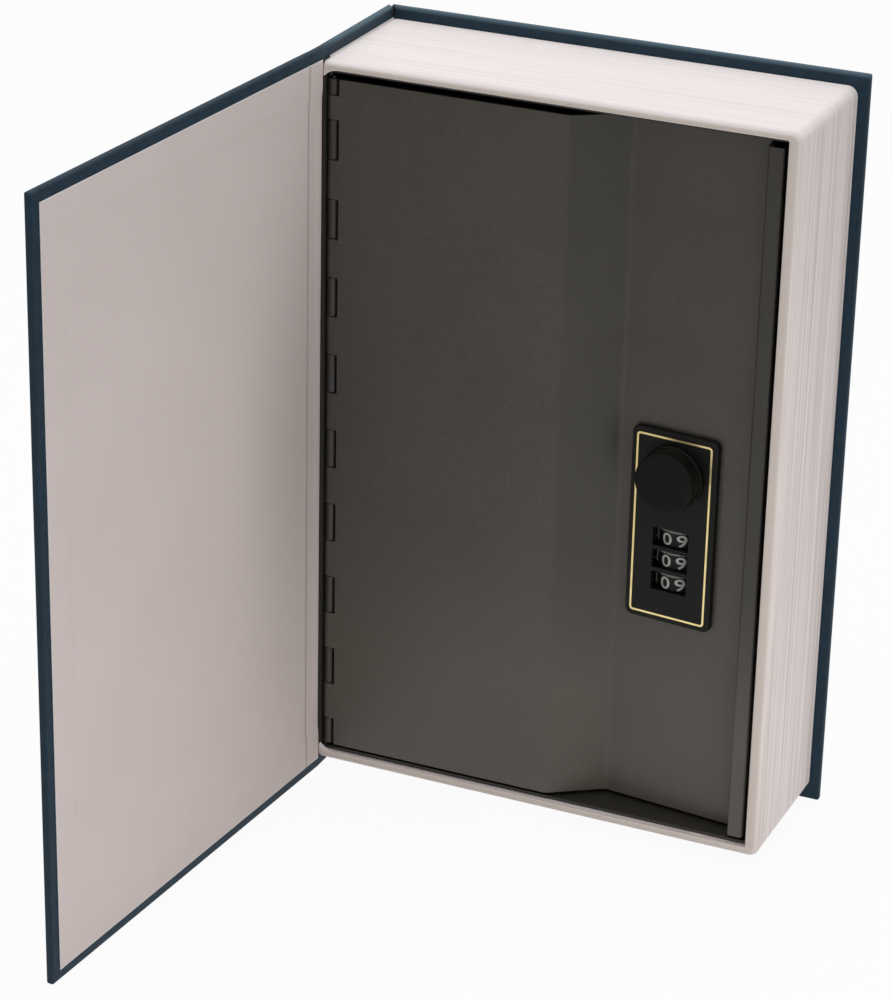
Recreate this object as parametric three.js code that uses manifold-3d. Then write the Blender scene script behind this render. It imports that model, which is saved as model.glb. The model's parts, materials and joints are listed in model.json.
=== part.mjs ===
// A book diversion safe, standing on its tail edge with the front cover open and the steel door shut.
// Millimetres, +Z up. X runs from the spine to the fore-edge, Y from the front of the page block to its back.
import * as THREE from "three";
import { mergeVertices } from "three/addons/utils/BufferGeometryUtils.js";
import Module from "manifold-3d";

const wasm = await Module();
wasm.setup();

// Page block and case
const BLOCK_WIDTH = 149; // spine side to fore-edge
const BLOCK_HEIGHT = 232.4; // tail to head
const BLOCK_DEPTH = 49.6; // front of the block to the back cover
const HEAD_OVERHANG = 3.8; // boards past the block at the head and at the tail
const FORE_OVERHANG = 3.3; // boards past the block at the fore-edge
const BOARD = 1.5; // grey board
const CLOTH = 0.3; // covering cloth
const PAPER = 0.2; // endpapers and spine lining
const GLUE = 0.15; // film of glue between two layers of the case
const TURN_IN = 14; // cloth folded over the inner side of a board
const PAPER_MARGIN = 3.5; // turned-in cloth left bare round an endpaper
const JOINT_WIDTH = 8.2; // cloth joint between the spine edge and a board
const JOINT_GAP = 0.3; // running gap between the round of the joint and the cover
const COVER_OPEN_DEG = 94; // front cover as it stands

// Moulded page frame, open towards the spine
const RIM = 2.7; // wall at the head and at the tail
const FORE_RIM = 3.6; // wall at the fore-edge
const FORE_CORNER_RADIUS = 3.2;
const SPINE_CORNER_RADIUS = 1.8;
const LIP_RADIUS = 1.2; // rounding of the front lip
const INNER_RADIUS = 0.5; // corners of the opening at the fore-edge
const FILLET_RADIUS = 6; // fillets of the opening at the spine
const FILLET_OUT = 1.5; // start of a fillet outside the spine side
const FILLET_DEPTH = 2; // the fillets end in front of the steel box

// Steel box
const SHEET = 0.9; // steel sheet of the box and of the door
const BOX_CLEARANCE = 0.2; // round the box inside the page frame
const BOX_FRONT = 2.2; // front edge of the box behind the front of the block

// Door
const DOOR_FACE = 1.5; // face of the door behind the front of the block
const DOOR_GAP = 1; // free edge of the door to the box
const DOOR_TAIL_GAP = 1.2; // tail of the door to the box
const DOOR_HEAD_GAP = 1.9;
const RAMP_RUN = 16;
const RAMP_DEPTH = 11;
const PANEL_TILT_DEG = 6; // the recessed panel comes forward towards the fore-edge
const LIP_WIDTH = 5; // raised lip along the free edge
const LIP_SLOPE = 0.6; // lean of the step between panel and lip
const FLANGE_DEPTH = 8; // flange folded back from the lip
const SOFT_BEND = 3; // bend radii at the ramp and at the lip
const TIGHT_BEND = 1.1;

// Piano hinge of the door
const KNUCKLE_RADIUS = 1.8;
const PIN_RADIUS = 0.75;
const PIN_CLEARANCE = 0.2;
const PIN_END = 0.6; // pin past the end knuckles
const KNUCKLE_LENGTH = 12.5;
const SHORTEST_KNUCKLE = 3; // the door's last knuckle takes what is left, and is at least this long
const TAIL_KNUCKLE = 9; // shorter end knuckles of the box
const HEAD_KNUCKLE = 5;
const KNUCKLE_GAP = 0.3; // between two knuckles along the pin
const ROLL_START = 0.4; // the sheet runs into the roll of a knuckle this far past the line of the pin
const NOTCH_GAP = 0.7; // slit beside a knuckle

// Combination lock on the recessed panel
const LOCK_HEIGHT = 103.8; // middle of the lock above the tail edge
const PLATE_TO_RAMP = 4.9; // along the panel, from the foot of the ramp to the faceplate
const PLATE_TO_LIP = 10.55; // along the panel, from the faceplate to the raised lip
const SEAT_GAP = 0.2; // between two parts that sit on each other on the tilted panel
const PLATE_MARGIN = 1.25; // faceplate past the housing, all round
const PLATE_THICKNESS = 2;
const PLATE_CORNER = 2.2;
const PLATE_EDGE = 0.5;
const WINDOW_WIDTH = 11.9;
const WINDOW_HEIGHT = 6;
const WHEEL_PITCH = 7.3;
const WHEEL_COUNT = 3;
const FIRST_WHEEL = -3.3; // middle of the upper wheel below the middle of the lock
const WHEEL_RADIUS = 8;
const WHEEL_BODY_RADIUS = 7.8;
const WHEEL_LENGTH = 6;
const WHEEL_RIM = 1.2; // notched rim along the wheel
const WHEEL_STEP = 0.2; // the drum ends this far short of the rim
const WHEEL_NOTCHES = 10;
const WHEEL_NOTCH_RADIUS = 0.8;
const WHEEL_NOTCH_OUT = 0.35; // middle of a notch outside the rim
const WHEEL_SETBACK = 0.9; // front of a wheel behind the face of the plate
const SLEEVE_RADIUS = 4.4;
const SLEEVE_CLEARANCE = 0.15;
const GATE_DISC_RADIUS = 6.2;
const GATE_DISC = 0.7; // thickness of the notched disc of a sleeve
const GATE_NOTCH_WIDTH = 2.4;
const GATE_NOTCH_DEPTH = 1.4;
const SHAFT_RADIUS = 1.5;
const SHAFT_CLEARANCE = 0.15;
const SHAFT_SEAT = 1.2; // foot of the shaft in the lower post of the housing
const WHEEL_HOLE_END = 1; // hole in the panel past the end of the row of wheels

// Lock housing behind the panel
const HOUSING_WALL = 1.3;
const POST_HEIGHT = 6.4; // solid ends that take the screws
const POST_TO_LOBE = 0.6; // inner end of the upper post to the raised lobe
const POST_TO_BAR = 1.35; // inner end of the lower post to the gate bar
const SHELF = 1.6; // wall between the wheels and the spindle
const SHELF_GAP = 1; // that wall above the upper wheel
const BOSS_RADIUS = 5; // round boss that the cam turns on
const BOSS_HEIGHT = 2;
const SCREW_RADIUS = 1.1;
const SCREW_HEAD_RADIUS = 2.1;
const SCREW_HEAD = 1.4;
const SCREW_HEAD_EDGE = 0.4;
const SCREW_SLOT_WIDTH = 0.6;
const SCREW_SLOT_DEPTH = 0.5;
const SCREW_TIP = 1; // end of a screw behind the face of the panel
const SCREW_INSET = 3.5; // axis of a screw from the end of the housing
const PLATE_BOSS_RADIUS = 2.2;
const PLATE_BOSS = 5; // length of the screw bosses behind the plate
const HOLE_CLEARANCE = 0.3;

// Knob, spindle and cam
const KNOB_HEIGHT = 17.5; // axis of the knob above the middle of the lock
const KNOB_SKIRT_RADIUS = 9.9;
const KNOB_SKIRT = 1.6;
const KNOB_RADIUS = 9.3;
const KNOB_LENGTH = 7;
const KNOB_EDGE = 0.5;
const KNOB_TURN_DEG = 90;
const SPINDLE_RADIUS = 3;
const SPINDLE_STUB_RADIUS = 2;
const SPINDLE_STUB = 3.6;
const SPINDLE_CLEARANCE = 0.2;
const LOBE_LOW = 4; // lobe radius with the bar down
const LOBE_LENGTH = 4;
const LOBE_SETBACK = 3; // lobe behind the back of the panel
const LOBE_REST_DEG = 17; // low stretch of the lobe before the rise
const BAR_TRAVEL = 1.5;
const BAR_GAP = 0.3; // bar to lobe, and bar teeth to the sleeve discs
const BAR_THICKNESS = 0.9;
const BAR_WIDTH = 4;
const BAR_SETBACK = 0.7; // bar outside the wheels
const BAR_END = 1; // bar past the axis of the knob
const TOOTH = 0.7;
const TOOTH_WIDTH = 1.8;
const NOSE = 1;
const NOSE_WIDTH = 2.4;
const CAM_THICKNESS = 1.8;
const CAM_WIDTH = 9;
const CAM_HUB_RADIUS = 7;
const CAM_WALL_GAP = 1.6; // tip of the thrown cam to the wall of the box
const WASHER_RADIUS = 5;
const WASHER = 0.6;
const NUT_RADIUS = 5.4;
const NUT = 2.6;
const THREAD_RADIUS = 2.4;
const THREAD_END = 1; // thread past the nut
const STACK_GAP = 0.1; // between washer, nut and cam

// Springs, lever and catch
const SPRING_STRIP = 0.3;
const SPRING_WIDTH = 3;
const SPRING_GAP = 0.2; // leaf to the lifted gate bar
const DETENT_REACH = 0.25; // spring tip outside the rim of a wheel
const DETENT_FINGER = 0.6;
const DETENT_WIDTH = 2;
const DETENT_END = 1; // strip past the middle of the last finger
const LEVER_HEIGHT = -19; // reset lever below the middle of the lock
const LEVER_TRAVEL = 3;
const LEVER_WIDTH = 3;
const LEVER_TALL = 4;
const LEVER_HEAD = 1;
const LEVER_LIP = 1; // head of the lever past its foot, all round
const LEVER_INSIDE = 0.6; // foot of the lever inside the housing
const LEVER_GAP = 0.5; // foot of the lever to the wheels
const CATCH_REACH = 8; // catch out from the wall of the box
const CATCH_HEIGHT = 26;
const CATCH_SHEET = 1.5;
const CATCH_FOOT = 9; // length of the foot welded to the wall
const CATCH_GAP = 0.5; // catch to the thrown cam

// Cutters
const PAST = 1; // a cutter runs this far past what it cuts through

// Sides of round shapes, from the widest to the thinnest
const SIDES = { wheel: 40, knob: 36, disc: 32, round: 24, pin: 16, screw: 12, notch: 8 };

// Sizes that follow
const CASE_HEIGHT = BLOCK_HEIGHT + 2 * HEAD_OVERHANG;
const CASE_WIDTH = BLOCK_WIDTH + FORE_OVERHANG;
const INNER_PLY = PAPER + GLUE; // turned-in cloth lies this far behind the face of an endpaper
const COVER = INNER_PLY + CLOTH + GLUE + BOARD + GLUE + CLOTH;
const JOINT_START = COVER + JOINT_GAP; // cover cloth starts this far from its hinge line
const TAIL = HEAD_OVERHANG; // underside of the block
const HEAD = HEAD_OVERHANG + BLOCK_HEIGHT;
const BOX = {
  x0: BOX_CLEARANCE,
  x1: BLOCK_WIDTH - FORE_RIM - BOX_CLEARANCE,
  z0: TAIL + RIM + BOX_CLEARANCE,
  z1: HEAD - RIM - BOX_CLEARANCE,
};
const HINGE_X = BOX.x0 + KNUCKLE_RADIUS;
const HINGE_Y = DOOR_FACE + KNUCKLE_RADIUS;
const DOOR_Z0 = BOX.z0 + SHEET + DOOR_TAIL_GAP;
const DOOR_Z1 = BOX.z1 - SHEET - DOOR_HEAD_GAP;
const DOOR_RIGHT = BOX.x1 - SHEET - DOOR_GAP;
const PANEL_TILT = THREE.MathUtils.degToRad(PANEL_TILT_DEG);
const LIP_X = DOOR_RIGHT - LIP_WIDTH;

// The lock's own frame has its origin on the face of the panel and +Y into the door. These follow in it.
const PANEL_BACK = SHEET + SEAT_GAP; // front of the housing, behind the face of the panel
const PLATE_FACE = -SEAT_GAP - PLATE_THICKNESS;
const WHEEL_DEPTH = PLATE_FACE + WHEEL_SETBACK + WHEEL_RADIUS; // axis of the wheels
const LAST_WHEEL = FIRST_WHEEL - (WHEEL_COUNT - 1) * WHEEL_PITCH;
const DISC_BELOW = WHEEL_PITCH / 2; // middle of a gate disc below the middle of its wheel
const BAR_X = -(WHEEL_RADIUS + BAR_SETBACK);
const BAR_FOOT = LAST_WHEEL - DISC_BELOW - TOOTH;
const LEAF_X = BAR_X - BAR_THICKNESS - BAR_TRAVEL - SPRING_GAP; // inner face of the leaf of the gate bar
const HOUSING_HALF = SPRING_STRIP + SEAT_GAP / 2 + HOUSING_WALL - LEAF_X;
const HOUSING_TOP = KNOB_HEIGHT + LOBE_LOW + BAR_TRAVEL + POST_TO_LOBE + POST_HEIGHT;
const HOUSING_FOOT = BAR_FOOT - POST_TO_BAR - POST_HEIGHT;
const HOUSING_BACK = WHEEL_DEPTH + WHEEL_RADIUS + LEVER_GAP + LEVER_INSIDE + HOUSING_WALL;
const SCREW_HEIGHTS = [HOUSING_TOP - SCREW_INSET, HOUSING_FOOT + SCREW_INSET];
const PLATE_HALF = HOUSING_HALF + PLATE_MARGIN;
const CAM_Y0 = HOUSING_BACK + BOSS_HEIGHT + SEAT_GAP;
const CAM_Y1 = CAM_Y0 + CAM_THICKNESS;
const WASHER_START = CAM_Y1 + STACK_GAP;
const NUT_START = WASHER_START + WASHER + STACK_GAP;

// The panel is as wide as the lock needs, and the ramp and the flat part of the door take the rest.
const PANEL_LENGTH = PLATE_TO_RAMP + 2 * PLATE_HALF + PLATE_TO_LIP;
const PANEL_X = LIP_X - LIP_SLOPE - PANEL_LENGTH * Math.cos(PANEL_TILT);
const PANEL_Y = DOOR_FACE + RAMP_DEPTH;
const LOCK_ALONG = PLATE_TO_RAMP + PLATE_HALF;
const LOCK = {
  x: PANEL_X + LOCK_ALONG * Math.cos(PANEL_TILT),
  y: PANEL_Y - LOCK_ALONG * Math.sin(PANEL_TILT),
};
const TURN = 2 * Math.PI;

// Plain closed shapes

function box(x0, x1, y0, y1, z0, z1) {
  const geometry = new THREE.BoxGeometry(x1 - x0, y1 - y0, z1 - z0);
  return geometry.translate((x0 + x1) / 2, (y0 + y1) / 2, (z0 + z1) / 2);
}

// A cylinder along Z, or along Y.
function rod(radius, start, end, x, other, sides, alongY = false) {
  const geometry = new THREE.CylinderGeometry(radius, radius, end - start, sides);
  if (alongY) return geometry.translate(x, (start + end) / 2, other);
  return geometry.rotateX(Math.PI / 2).translate(x, other, (start + end) / 2);
}

// An outline drawn in X and Y, pulled up along Z.
function prism(points, z0, z1) {
  const shape = new THREE.Shape(points.map(([x, y]) => new THREE.Vector2(x, y)));
  const geometry = new THREE.ExtrudeGeometry(shape, { depth: z1 - z0, bevelEnabled: false });
  return geometry.translate(0, 0, z0);
}

// A rectangle with round corners in X and Z, pulled along Y. The radii run from the low left corner on.
function roundedSlab(x0, x1, z0, z1, y0, y1, radii, edge = 0) {
  const corners = [
    [x0 + radii[0], z0 + radii[0], radii[0], Math.PI],
    [x1 - radii[1], z0 + radii[1], radii[1], 1.5 * Math.PI],
    [x1 - radii[2], z1 - radii[2], radii[2], 0],
    [x0 + radii[3], z1 - radii[3], radii[3], 0.5 * Math.PI],
  ];
  const shape = new THREE.Shape();
  for (const [x, z, radius, start] of corners) {
    shape.absarc(x, -z, radius, -start, -start - Math.PI / 2, true);
  }
  const depth = y1 - y0 - 2 * edge;
  const bevel = { bevelThickness: edge, bevelSize: edge, bevelOffset: -edge, bevelSegments: 3 };
  const options = { depth, curveSegments: 6, bevelEnabled: edge > 0, ...bevel };
  return new THREE.ExtrudeGeometry(shape, options).rotateX(-Math.PI / 2).translate(0, y0 + edge, 0);
}

// A turned shape about Y from radius and place pairs, closed on its axis.
function turned(profile, x, z, sides) {
  const points = profile.map(([radius, y]) => new THREE.Vector2(radius, y));
  return new THREE.LatheGeometry(points, sides).translate(x, 0, z);
}

// Joins and cuts

function solid(geometry, matrix) {
  const bare = new THREE.BufferGeometry();
  const source = geometry.index ? geometry.toNonIndexed() : geometry;
  bare.setAttribute("position", source.getAttribute("position").clone());
  if (matrix) bare.applyMatrix4(matrix);
  const merged = mergeVertices(bare, 1e-4);
  const vertProperties = merged.attributes.position.array;
  const triVerts = new Uint32Array(merged.index.array);
  return new wasm.Manifold(new wasm.Mesh({ numProp: 3, vertProperties, triVerts }));
}

function shaped(first, { add = [], cut = [] }) {
  let body = solid(first);
  for (const geometry of add) body = body.add(solid(geometry));
  for (const geometry of cut) body = body.subtract(solid(geometry));
  return geometryOf(body);
}

function geometryOf(body) {
  const mesh = body.getMesh();
  const geometry = new THREE.BufferGeometry();
  const positions = new Float32Array(mesh.numVert * 3);
  for (let i = 0; i < mesh.numVert; i += 1) {
    positions.set(mesh.vertProperties.subarray(i * mesh.numProp, i * mesh.numProp + 3), i * 3);
  }
  geometry.setAttribute("position", new THREE.BufferAttribute(positions, 3));
  geometry.setIndex(new THREE.BufferAttribute(mesh.triVerts, 1));
  geometry.computeVertexNormals();
  return geometry;
}

// Materials

const finishes = {
  cloth: [0x1b2c3d, 0.8, 0],
  board: [0x8b857a, 0.95, 0],
  paper: [0xe6dcd6, 0.85, 0],
  pages: [0xece7e4, 0.6, 0],
  steel: [0x45433e, 0.5, 0.4],
  plated: [0xb9bbbd, 0.3, 1],
  black: [0x1a1a19, 0.45, 0],
};

function piece(name, geometry, finish) {
  const [color, roughness, metalness] = finishes[finish];
  const material = new THREE.MeshStandardMaterial({ color, roughness, metalness });
  const mesh = new THREE.Mesh(geometry, material);
  mesh.name = name;
  return mesh;
}

// Case: board, cloth turned in round it, and paper over the turn-ins

// Cloth of a cover lying at y = 0, its outer face at y = COVER * side. It is a channel open towards
// the hinge, or shut there for a cover whose cloth runs round the back corner of the spine.
function coverCloth(x0, side, shutAtSpine) {
  const y = (depth) => depth * side;
  const span = (a, b) => [Math.min(y(a), y(b)), Math.max(y(a), y(b))];
  const outer = box(x0, CASE_WIDTH, ...span(INNER_PLY, COVER), 0, CASE_HEIGHT);
  const hollowStart = shutAtSpine ? x0 + CLOTH : x0 - PAST;
  const hollowSpan = span(INNER_PLY + CLOTH, COVER - CLOTH);
  const hollow = box(hollowStart, CASE_WIDTH - CLOTH, ...hollowSpan, CLOTH, CASE_HEIGHT - CLOTH);
  const bareSpan = span(0, INNER_PLY + 2 * CLOTH);
  const bare = box(hollowStart, CASE_WIDTH - TURN_IN, ...bareSpan, TURN_IN, CASE_HEIGHT - TURN_IN);
  return shaped(outer, { cut: [hollow, bare] });
}

function coverBoard(side) {
  const near = INNER_PLY + CLOTH + GLUE;
  const far = near + BOARD;
  const edge = CLOTH + GLUE;
  const [y0, y1] = side > 0 ? [near, far] : [-far, -near];
  return box(JOINT_WIDTH, CASE_WIDTH - edge, y0, y1, edge, CASE_HEIGHT - edge);
}

function coverPaper(x0, side) {
  const [y0, y1] = side > 0 ? [0, PAPER] : [-PAPER, 0];
  return box(x0, CASE_WIDTH - PAPER_MARGIN, y0, y1, PAPER_MARGIN, CASE_HEIGHT - PAPER_MARGIN);
}

// The front cover is drawn shut on the block and then turned back about the edge of the spine.
function frontCover() {
  const cover = new THREE.Group();
  cover.add(piece("front_cloth", coverCloth(JOINT_START, -1, false), "cloth"));
  cover.add(piece("front_board", coverBoard(-1), "board"));
  cover.add(piece("front_endpaper", coverPaper(JOINT_START, -1), "paper"));
  cover.rotation.z = -THREE.MathUtils.degToRad(COVER_OPEN_DEG);
  return cover;
}

function backCover() {
  const cover = new THREE.Group();
  cover.add(piece("back_cloth", coverCloth(-COVER, 1, true), "cloth"));
  cover.add(piece("back_board", coverBoard(1), "board"));
  cover.add(piece("back_endpaper", coverPaper(0, 1), "paper"));
  cover.position.y = BLOCK_DEPTH;
  return cover;
}

// The spine has the layers of a cover, turned in at the head and the tail only.
function spine() {
  const group = new THREE.Group();
  const through = [-PAST, BLOCK_DEPTH + PAST];
  const cloth = shaped(box(-COVER, -INNER_PLY, 0, BLOCK_DEPTH, 0, CASE_HEIGHT), {
    cut: [
      box(-COVER + CLOTH, -INNER_PLY - CLOTH, ...through, CLOTH, CASE_HEIGHT - CLOTH),
      box(-INNER_PLY - 2 * CLOTH, 0, ...through, TURN_IN, CASE_HEIGHT - TURN_IN),
    ],
  });
  const boardInner = INNER_PLY + CLOTH + GLUE;
  const edge = CLOTH + GLUE;
  const board = box(-boardInner - BOARD, -boardInner, 0, BLOCK_DEPTH, edge, CASE_HEIGHT - edge);
  const lining = box(-PAPER, 0, 0, BLOCK_DEPTH, PAPER_MARGIN, CASE_HEIGHT - PAPER_MARGIN);
  group.add(piece("spine_cloth", cloth, "cloth"));
  group.add(piece("spine_board", board, "board"));
  group.add(piece("spine_lining", lining, "paper"));
  group.add(piece("front_joint_cloth", jointCloth(), "cloth"));
  return group;
}

// The bent cloth of the front joint fills a quarter round between the spine and the cover.
function jointCloth() {
  const steps = 8;
  const points = [[0, 0]];
  for (let i = 0; i <= steps; i += 1) {
    const angle = Math.PI + (i / steps) * (Math.PI / 2);
    points.push([COVER * Math.cos(angle), COVER * Math.sin(angle)]);
  }
  return prism(points, 0, CASE_HEIGHT);
}

// Page block: a moulded frame that looks like cut pages, open at the front, the back and the spine
function pageFrame() {
  const radii = [SPINE_CORNER_RADIUS, FORE_CORNER_RADIUS, FORE_CORNER_RADIUS, SPINE_CORNER_RADIUS];
  const past = 2 * LIP_RADIUS;
  const outer = roundedSlab(0, BLOCK_WIDTH, TAIL, HEAD, 0, BLOCK_DEPTH + past, radii, LIP_RADIUS);
  const backCut = box(-PAST, BLOCK_WIDTH + PAST, BLOCK_DEPTH, BLOCK_DEPTH + past + PAST, 0, CASE_HEIGHT);
  const inner = [BLOCK_WIDTH - FORE_RIM, TAIL + RIM, HEAD - RIM];
  const innerRadii = [FILLET_RADIUS, INNER_RADIUS, INNER_RADIUS, FILLET_RADIUS];
  const frontCut = roundedSlab(-FILLET_OUT, ...inner, -PAST, FILLET_DEPTH + PAST, innerRadii);
  const boxCut = box(-PAST, BLOCK_WIDTH - FORE_RIM, FILLET_DEPTH, BLOCK_DEPTH + PAST, TAIL + RIM, HEAD - RIM);
  return piece("page_frame", shaped(outer, { cut: [backCut, frontCut, boxCut] }), "pages");
}

// Piano hinge: the knuckles alternate along the pin, with a short knuckle of the box at each end
function knuckleSpans() {
  const tailEnd = DOOR_Z0 + TAIL_KNUCKLE;
  const headStart = DOOR_Z1 - HEAD_KNUCKLE;
  const pairs = Math.floor((headStart - tailEnd - SHORTEST_KNUCKLE) / (2 * KNUCKLE_LENGTH));
  const onBox = [[DOOR_Z0, tailEnd]];
  const onDoor = [];
  let z = tailEnd;
  for (let i = 0; i < pairs; i += 1) {
    onDoor.push([z, z + KNUCKLE_LENGTH]);
    onBox.push([z + KNUCKLE_LENGTH, z + 2 * KNUCKLE_LENGTH]);
    z += 2 * KNUCKLE_LENGTH;
  }
  onDoor.push([z, headStart]);
  onBox.push([headStart, DOOR_Z1]);
  return { onBox, onDoor };
}

const SPANS = knuckleSpans();

function knuckles(spans) {
  const half = KNUCKLE_GAP / 2;
  return spans.map(([z0, z1]) => rod(KNUCKLE_RADIUS, z0 + half, z1 - half, HINGE_X, HINGE_Y, SIDES.pin));
}

function pinBore() {
  return rod(PIN_RADIUS + PIN_CLEARANCE, 0, CASE_HEIGHT, HINGE_X, HINGE_Y, SIDES.pin);
}

// Steel box with rolled knuckles on the front edge of its wall at the spine
function steelBox() {
  const { x0, x1, z0, z1 } = BOX;
  const half = KNUCKLE_GAP / 2;
  const wallFront = HINGE_Y + ROLL_START;
  const outer = box(x0, x1, wallFront, BLOCK_DEPTH, z0, z1);
  const rest = [x0 + SHEET, x1, BOX_FRONT, wallFront + PAST];
  const front = [
    box(...rest, z0, z0 + SHEET),
    box(...rest, z1 - SHEET, z1),
    box(x1 - SHEET, x1, BOX_FRONT, wallFront + PAST, z0, z1),
  ];
  const hollow = box(x0 + SHEET, x1 - SHEET, 0, BLOCK_DEPTH - SHEET, z0 + SHEET, z1 - SHEET);
  const notchBack = HINGE_Y + KNUCKLE_RADIUS + NOTCH_GAP;
  const notches = SPANS.onDoor.map(([a, b]) => {
    return box(x0 - PAST, x0 + SHEET + PAST, 0, notchBack, a - half, b + half);
  });
  const ends = [
    box(x0 - PAST, x0 + SHEET, 0, notchBack, z0 - PAST, DOOR_Z0 + half),
    box(x0 - PAST, x0 + SHEET, 0, notchBack, DOOR_Z1 - half, z1 + PAST),
  ];
  const shell = solid(shaped(outer, { add: front, cut: [hollow, ...notches, ...ends] }));
  const rolled = knuckles(SPANS.onBox).reduce((body, tube) => body.add(solid(tube)), shell);
  return piece("steel_box", geometryOf(rolled.subtract(solid(pinBore()))), "steel");
}

function hingePin() {
  const pin = rod(PIN_RADIUS, DOOR_Z0 - PIN_END, DOOR_Z1 + PIN_END, HINGE_X, HINGE_Y, SIDES.pin);
  return piece("hinge_pin", pin, "plated");
}

// Bent sheet: the corners of its front face are rounded, and the sheet lies behind that face

function rounded(points) {
  const out = [];
  points.forEach(([x, y, radius], i) => {
    const here = new THREE.Vector2(x, y);
    if (!radius) {
      out.push(here);
      return;
    }
    const before = new THREE.Vector2(...points[i - 1]).sub(here).normalize();
    const after = new THREE.Vector2(...points[i + 1]).sub(here).normalize();
    const corner = Math.acos(before.dot(after));
    const run = radius / Math.tan(corner / 2);
    const start = here.clone().addScaledVector(before, run);
    const end = here.clone().addScaledVector(after, run);
    const steps = 4;
    for (let k = 0; k <= steps; k += 1) {
      const t = k / steps;
      const a = start.clone().lerp(here, t);
      const b = here.clone().lerp(end, t);
      out.push(a.lerp(b, t));
    }
  });
  return out;
}

function bentSheet(points, thickness, z0, z1) {
  const face = rounded(points);
  const back = face.map((here, i) => {
    const before = here.clone().sub(face[Math.max(i - 1, 0)]).normalize();
    const after = face[Math.min(i + 1, face.length - 1)].clone().sub(here).normalize();
    const along = before.add(after).normalize();
    const step = i === 0 || i === face.length - 1 ? 1 : Math.sqrt((1 + directionDot(face, i)) / 2);
    return [here.x - (along.y * thickness) / step, here.y + (along.x * thickness) / step];
  });
  const outline = [...face.map((p) => [p.x, p.y]), ...back.reverse()];
  return prism(outline, z0, z1);
}

function directionDot(line, i) {
  const before = line[i].clone().sub(line[i - 1]).normalize();
  const after = line[i + 1].clone().sub(line[i]).normalize();
  return before.dot(after);
}

// The lock's own frame: its middle on the face of the panel, +Y into the door
function placeOnPanel(group) {
  group.position.set(LOCK.x, LOCK.y, LOCK_HEIGHT);
  group.rotation.z = -PANEL_TILT;
  group.updateMatrix();
  return group;
}

const wheelHeights = Array.from({ length: WHEEL_COUNT }, (_, i) => FIRST_WHEEL - i * WHEEL_PITCH);
const wheelHalf = WHEEL_LENGTH / 2;
const shelfTop = FIRST_WHEEL + wheelHalf + SHELF_GAP + SHELF;
const shaftFoot = HOUSING_FOOT + POST_HEIGHT - SHAFT_SEAT;

// Door: flat by the hinge, a ramp down to the recessed panel, and a raised lip at the free edge
function door() {
  const panelEndY = PANEL_Y - PANEL_LENGTH * Math.sin(PANEL_TILT);
  const profile = [
    [HINGE_X + ROLL_START, DOOR_FACE],
    [PANEL_X - RAMP_RUN, DOOR_FACE, SOFT_BEND],
    [PANEL_X, PANEL_Y, SOFT_BEND],
    [LIP_X - LIP_SLOPE, panelEndY, TIGHT_BEND],
    [LIP_X, DOOR_FACE, TIGHT_BEND],
    [DOOR_RIGHT, DOOR_FACE, TIGHT_BEND],
    [DOOR_RIGHT, DOOR_FACE + FLANGE_DEPTH],
  ];
  const half = KNUCKLE_GAP / 2;
  const notchRight = HINGE_X + KNUCKLE_RADIUS + NOTCH_GAP;
  const notches = SPANS.onBox.map(([a, b]) => box(0, notchRight, 0, notchRight, a - half, b + half));
  const sheet = solid(shaped(bentSheet(profile, SHEET, DOOR_Z0, DOOR_Z1), { cut: notches }));
  const rolled = knuckles(SPANS.onDoor).reduce((body, tube) => body.add(solid(tube)), sheet);
  const bored = rolled.subtract(solid(pinBore()));
  const matrix = placeOnPanel(new THREE.Group()).matrix;
  const wheelCut = WHEEL_RADIUS + HOLE_CLEARANCE;
  const wheelEnd = wheelHalf + WHEEL_HOLE_END;
  const bossCut = PLATE_BOSS_RADIUS + HOLE_CLEARANCE;
  const through = [-PAST, SHEET + PAST];
  const cuts = [
    box(-wheelCut, wheelCut, ...through, LAST_WHEEL - wheelEnd, FIRST_WHEEL + wheelEnd),
    rod(SPINDLE_RADIUS + HOLE_CLEARANCE, ...through, 0, KNOB_HEIGHT, SIDES.round, true),
    ...SCREW_HEIGHTS.map((z) => rod(bossCut, ...through, 0, z, SIDES.pin, true)),
  ];
  const pierced = cuts.reduce((body, cut) => body.subtract(solid(cut, matrix)), bored);
  return piece("door", geometryOf(pierced), "steel");
}

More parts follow.
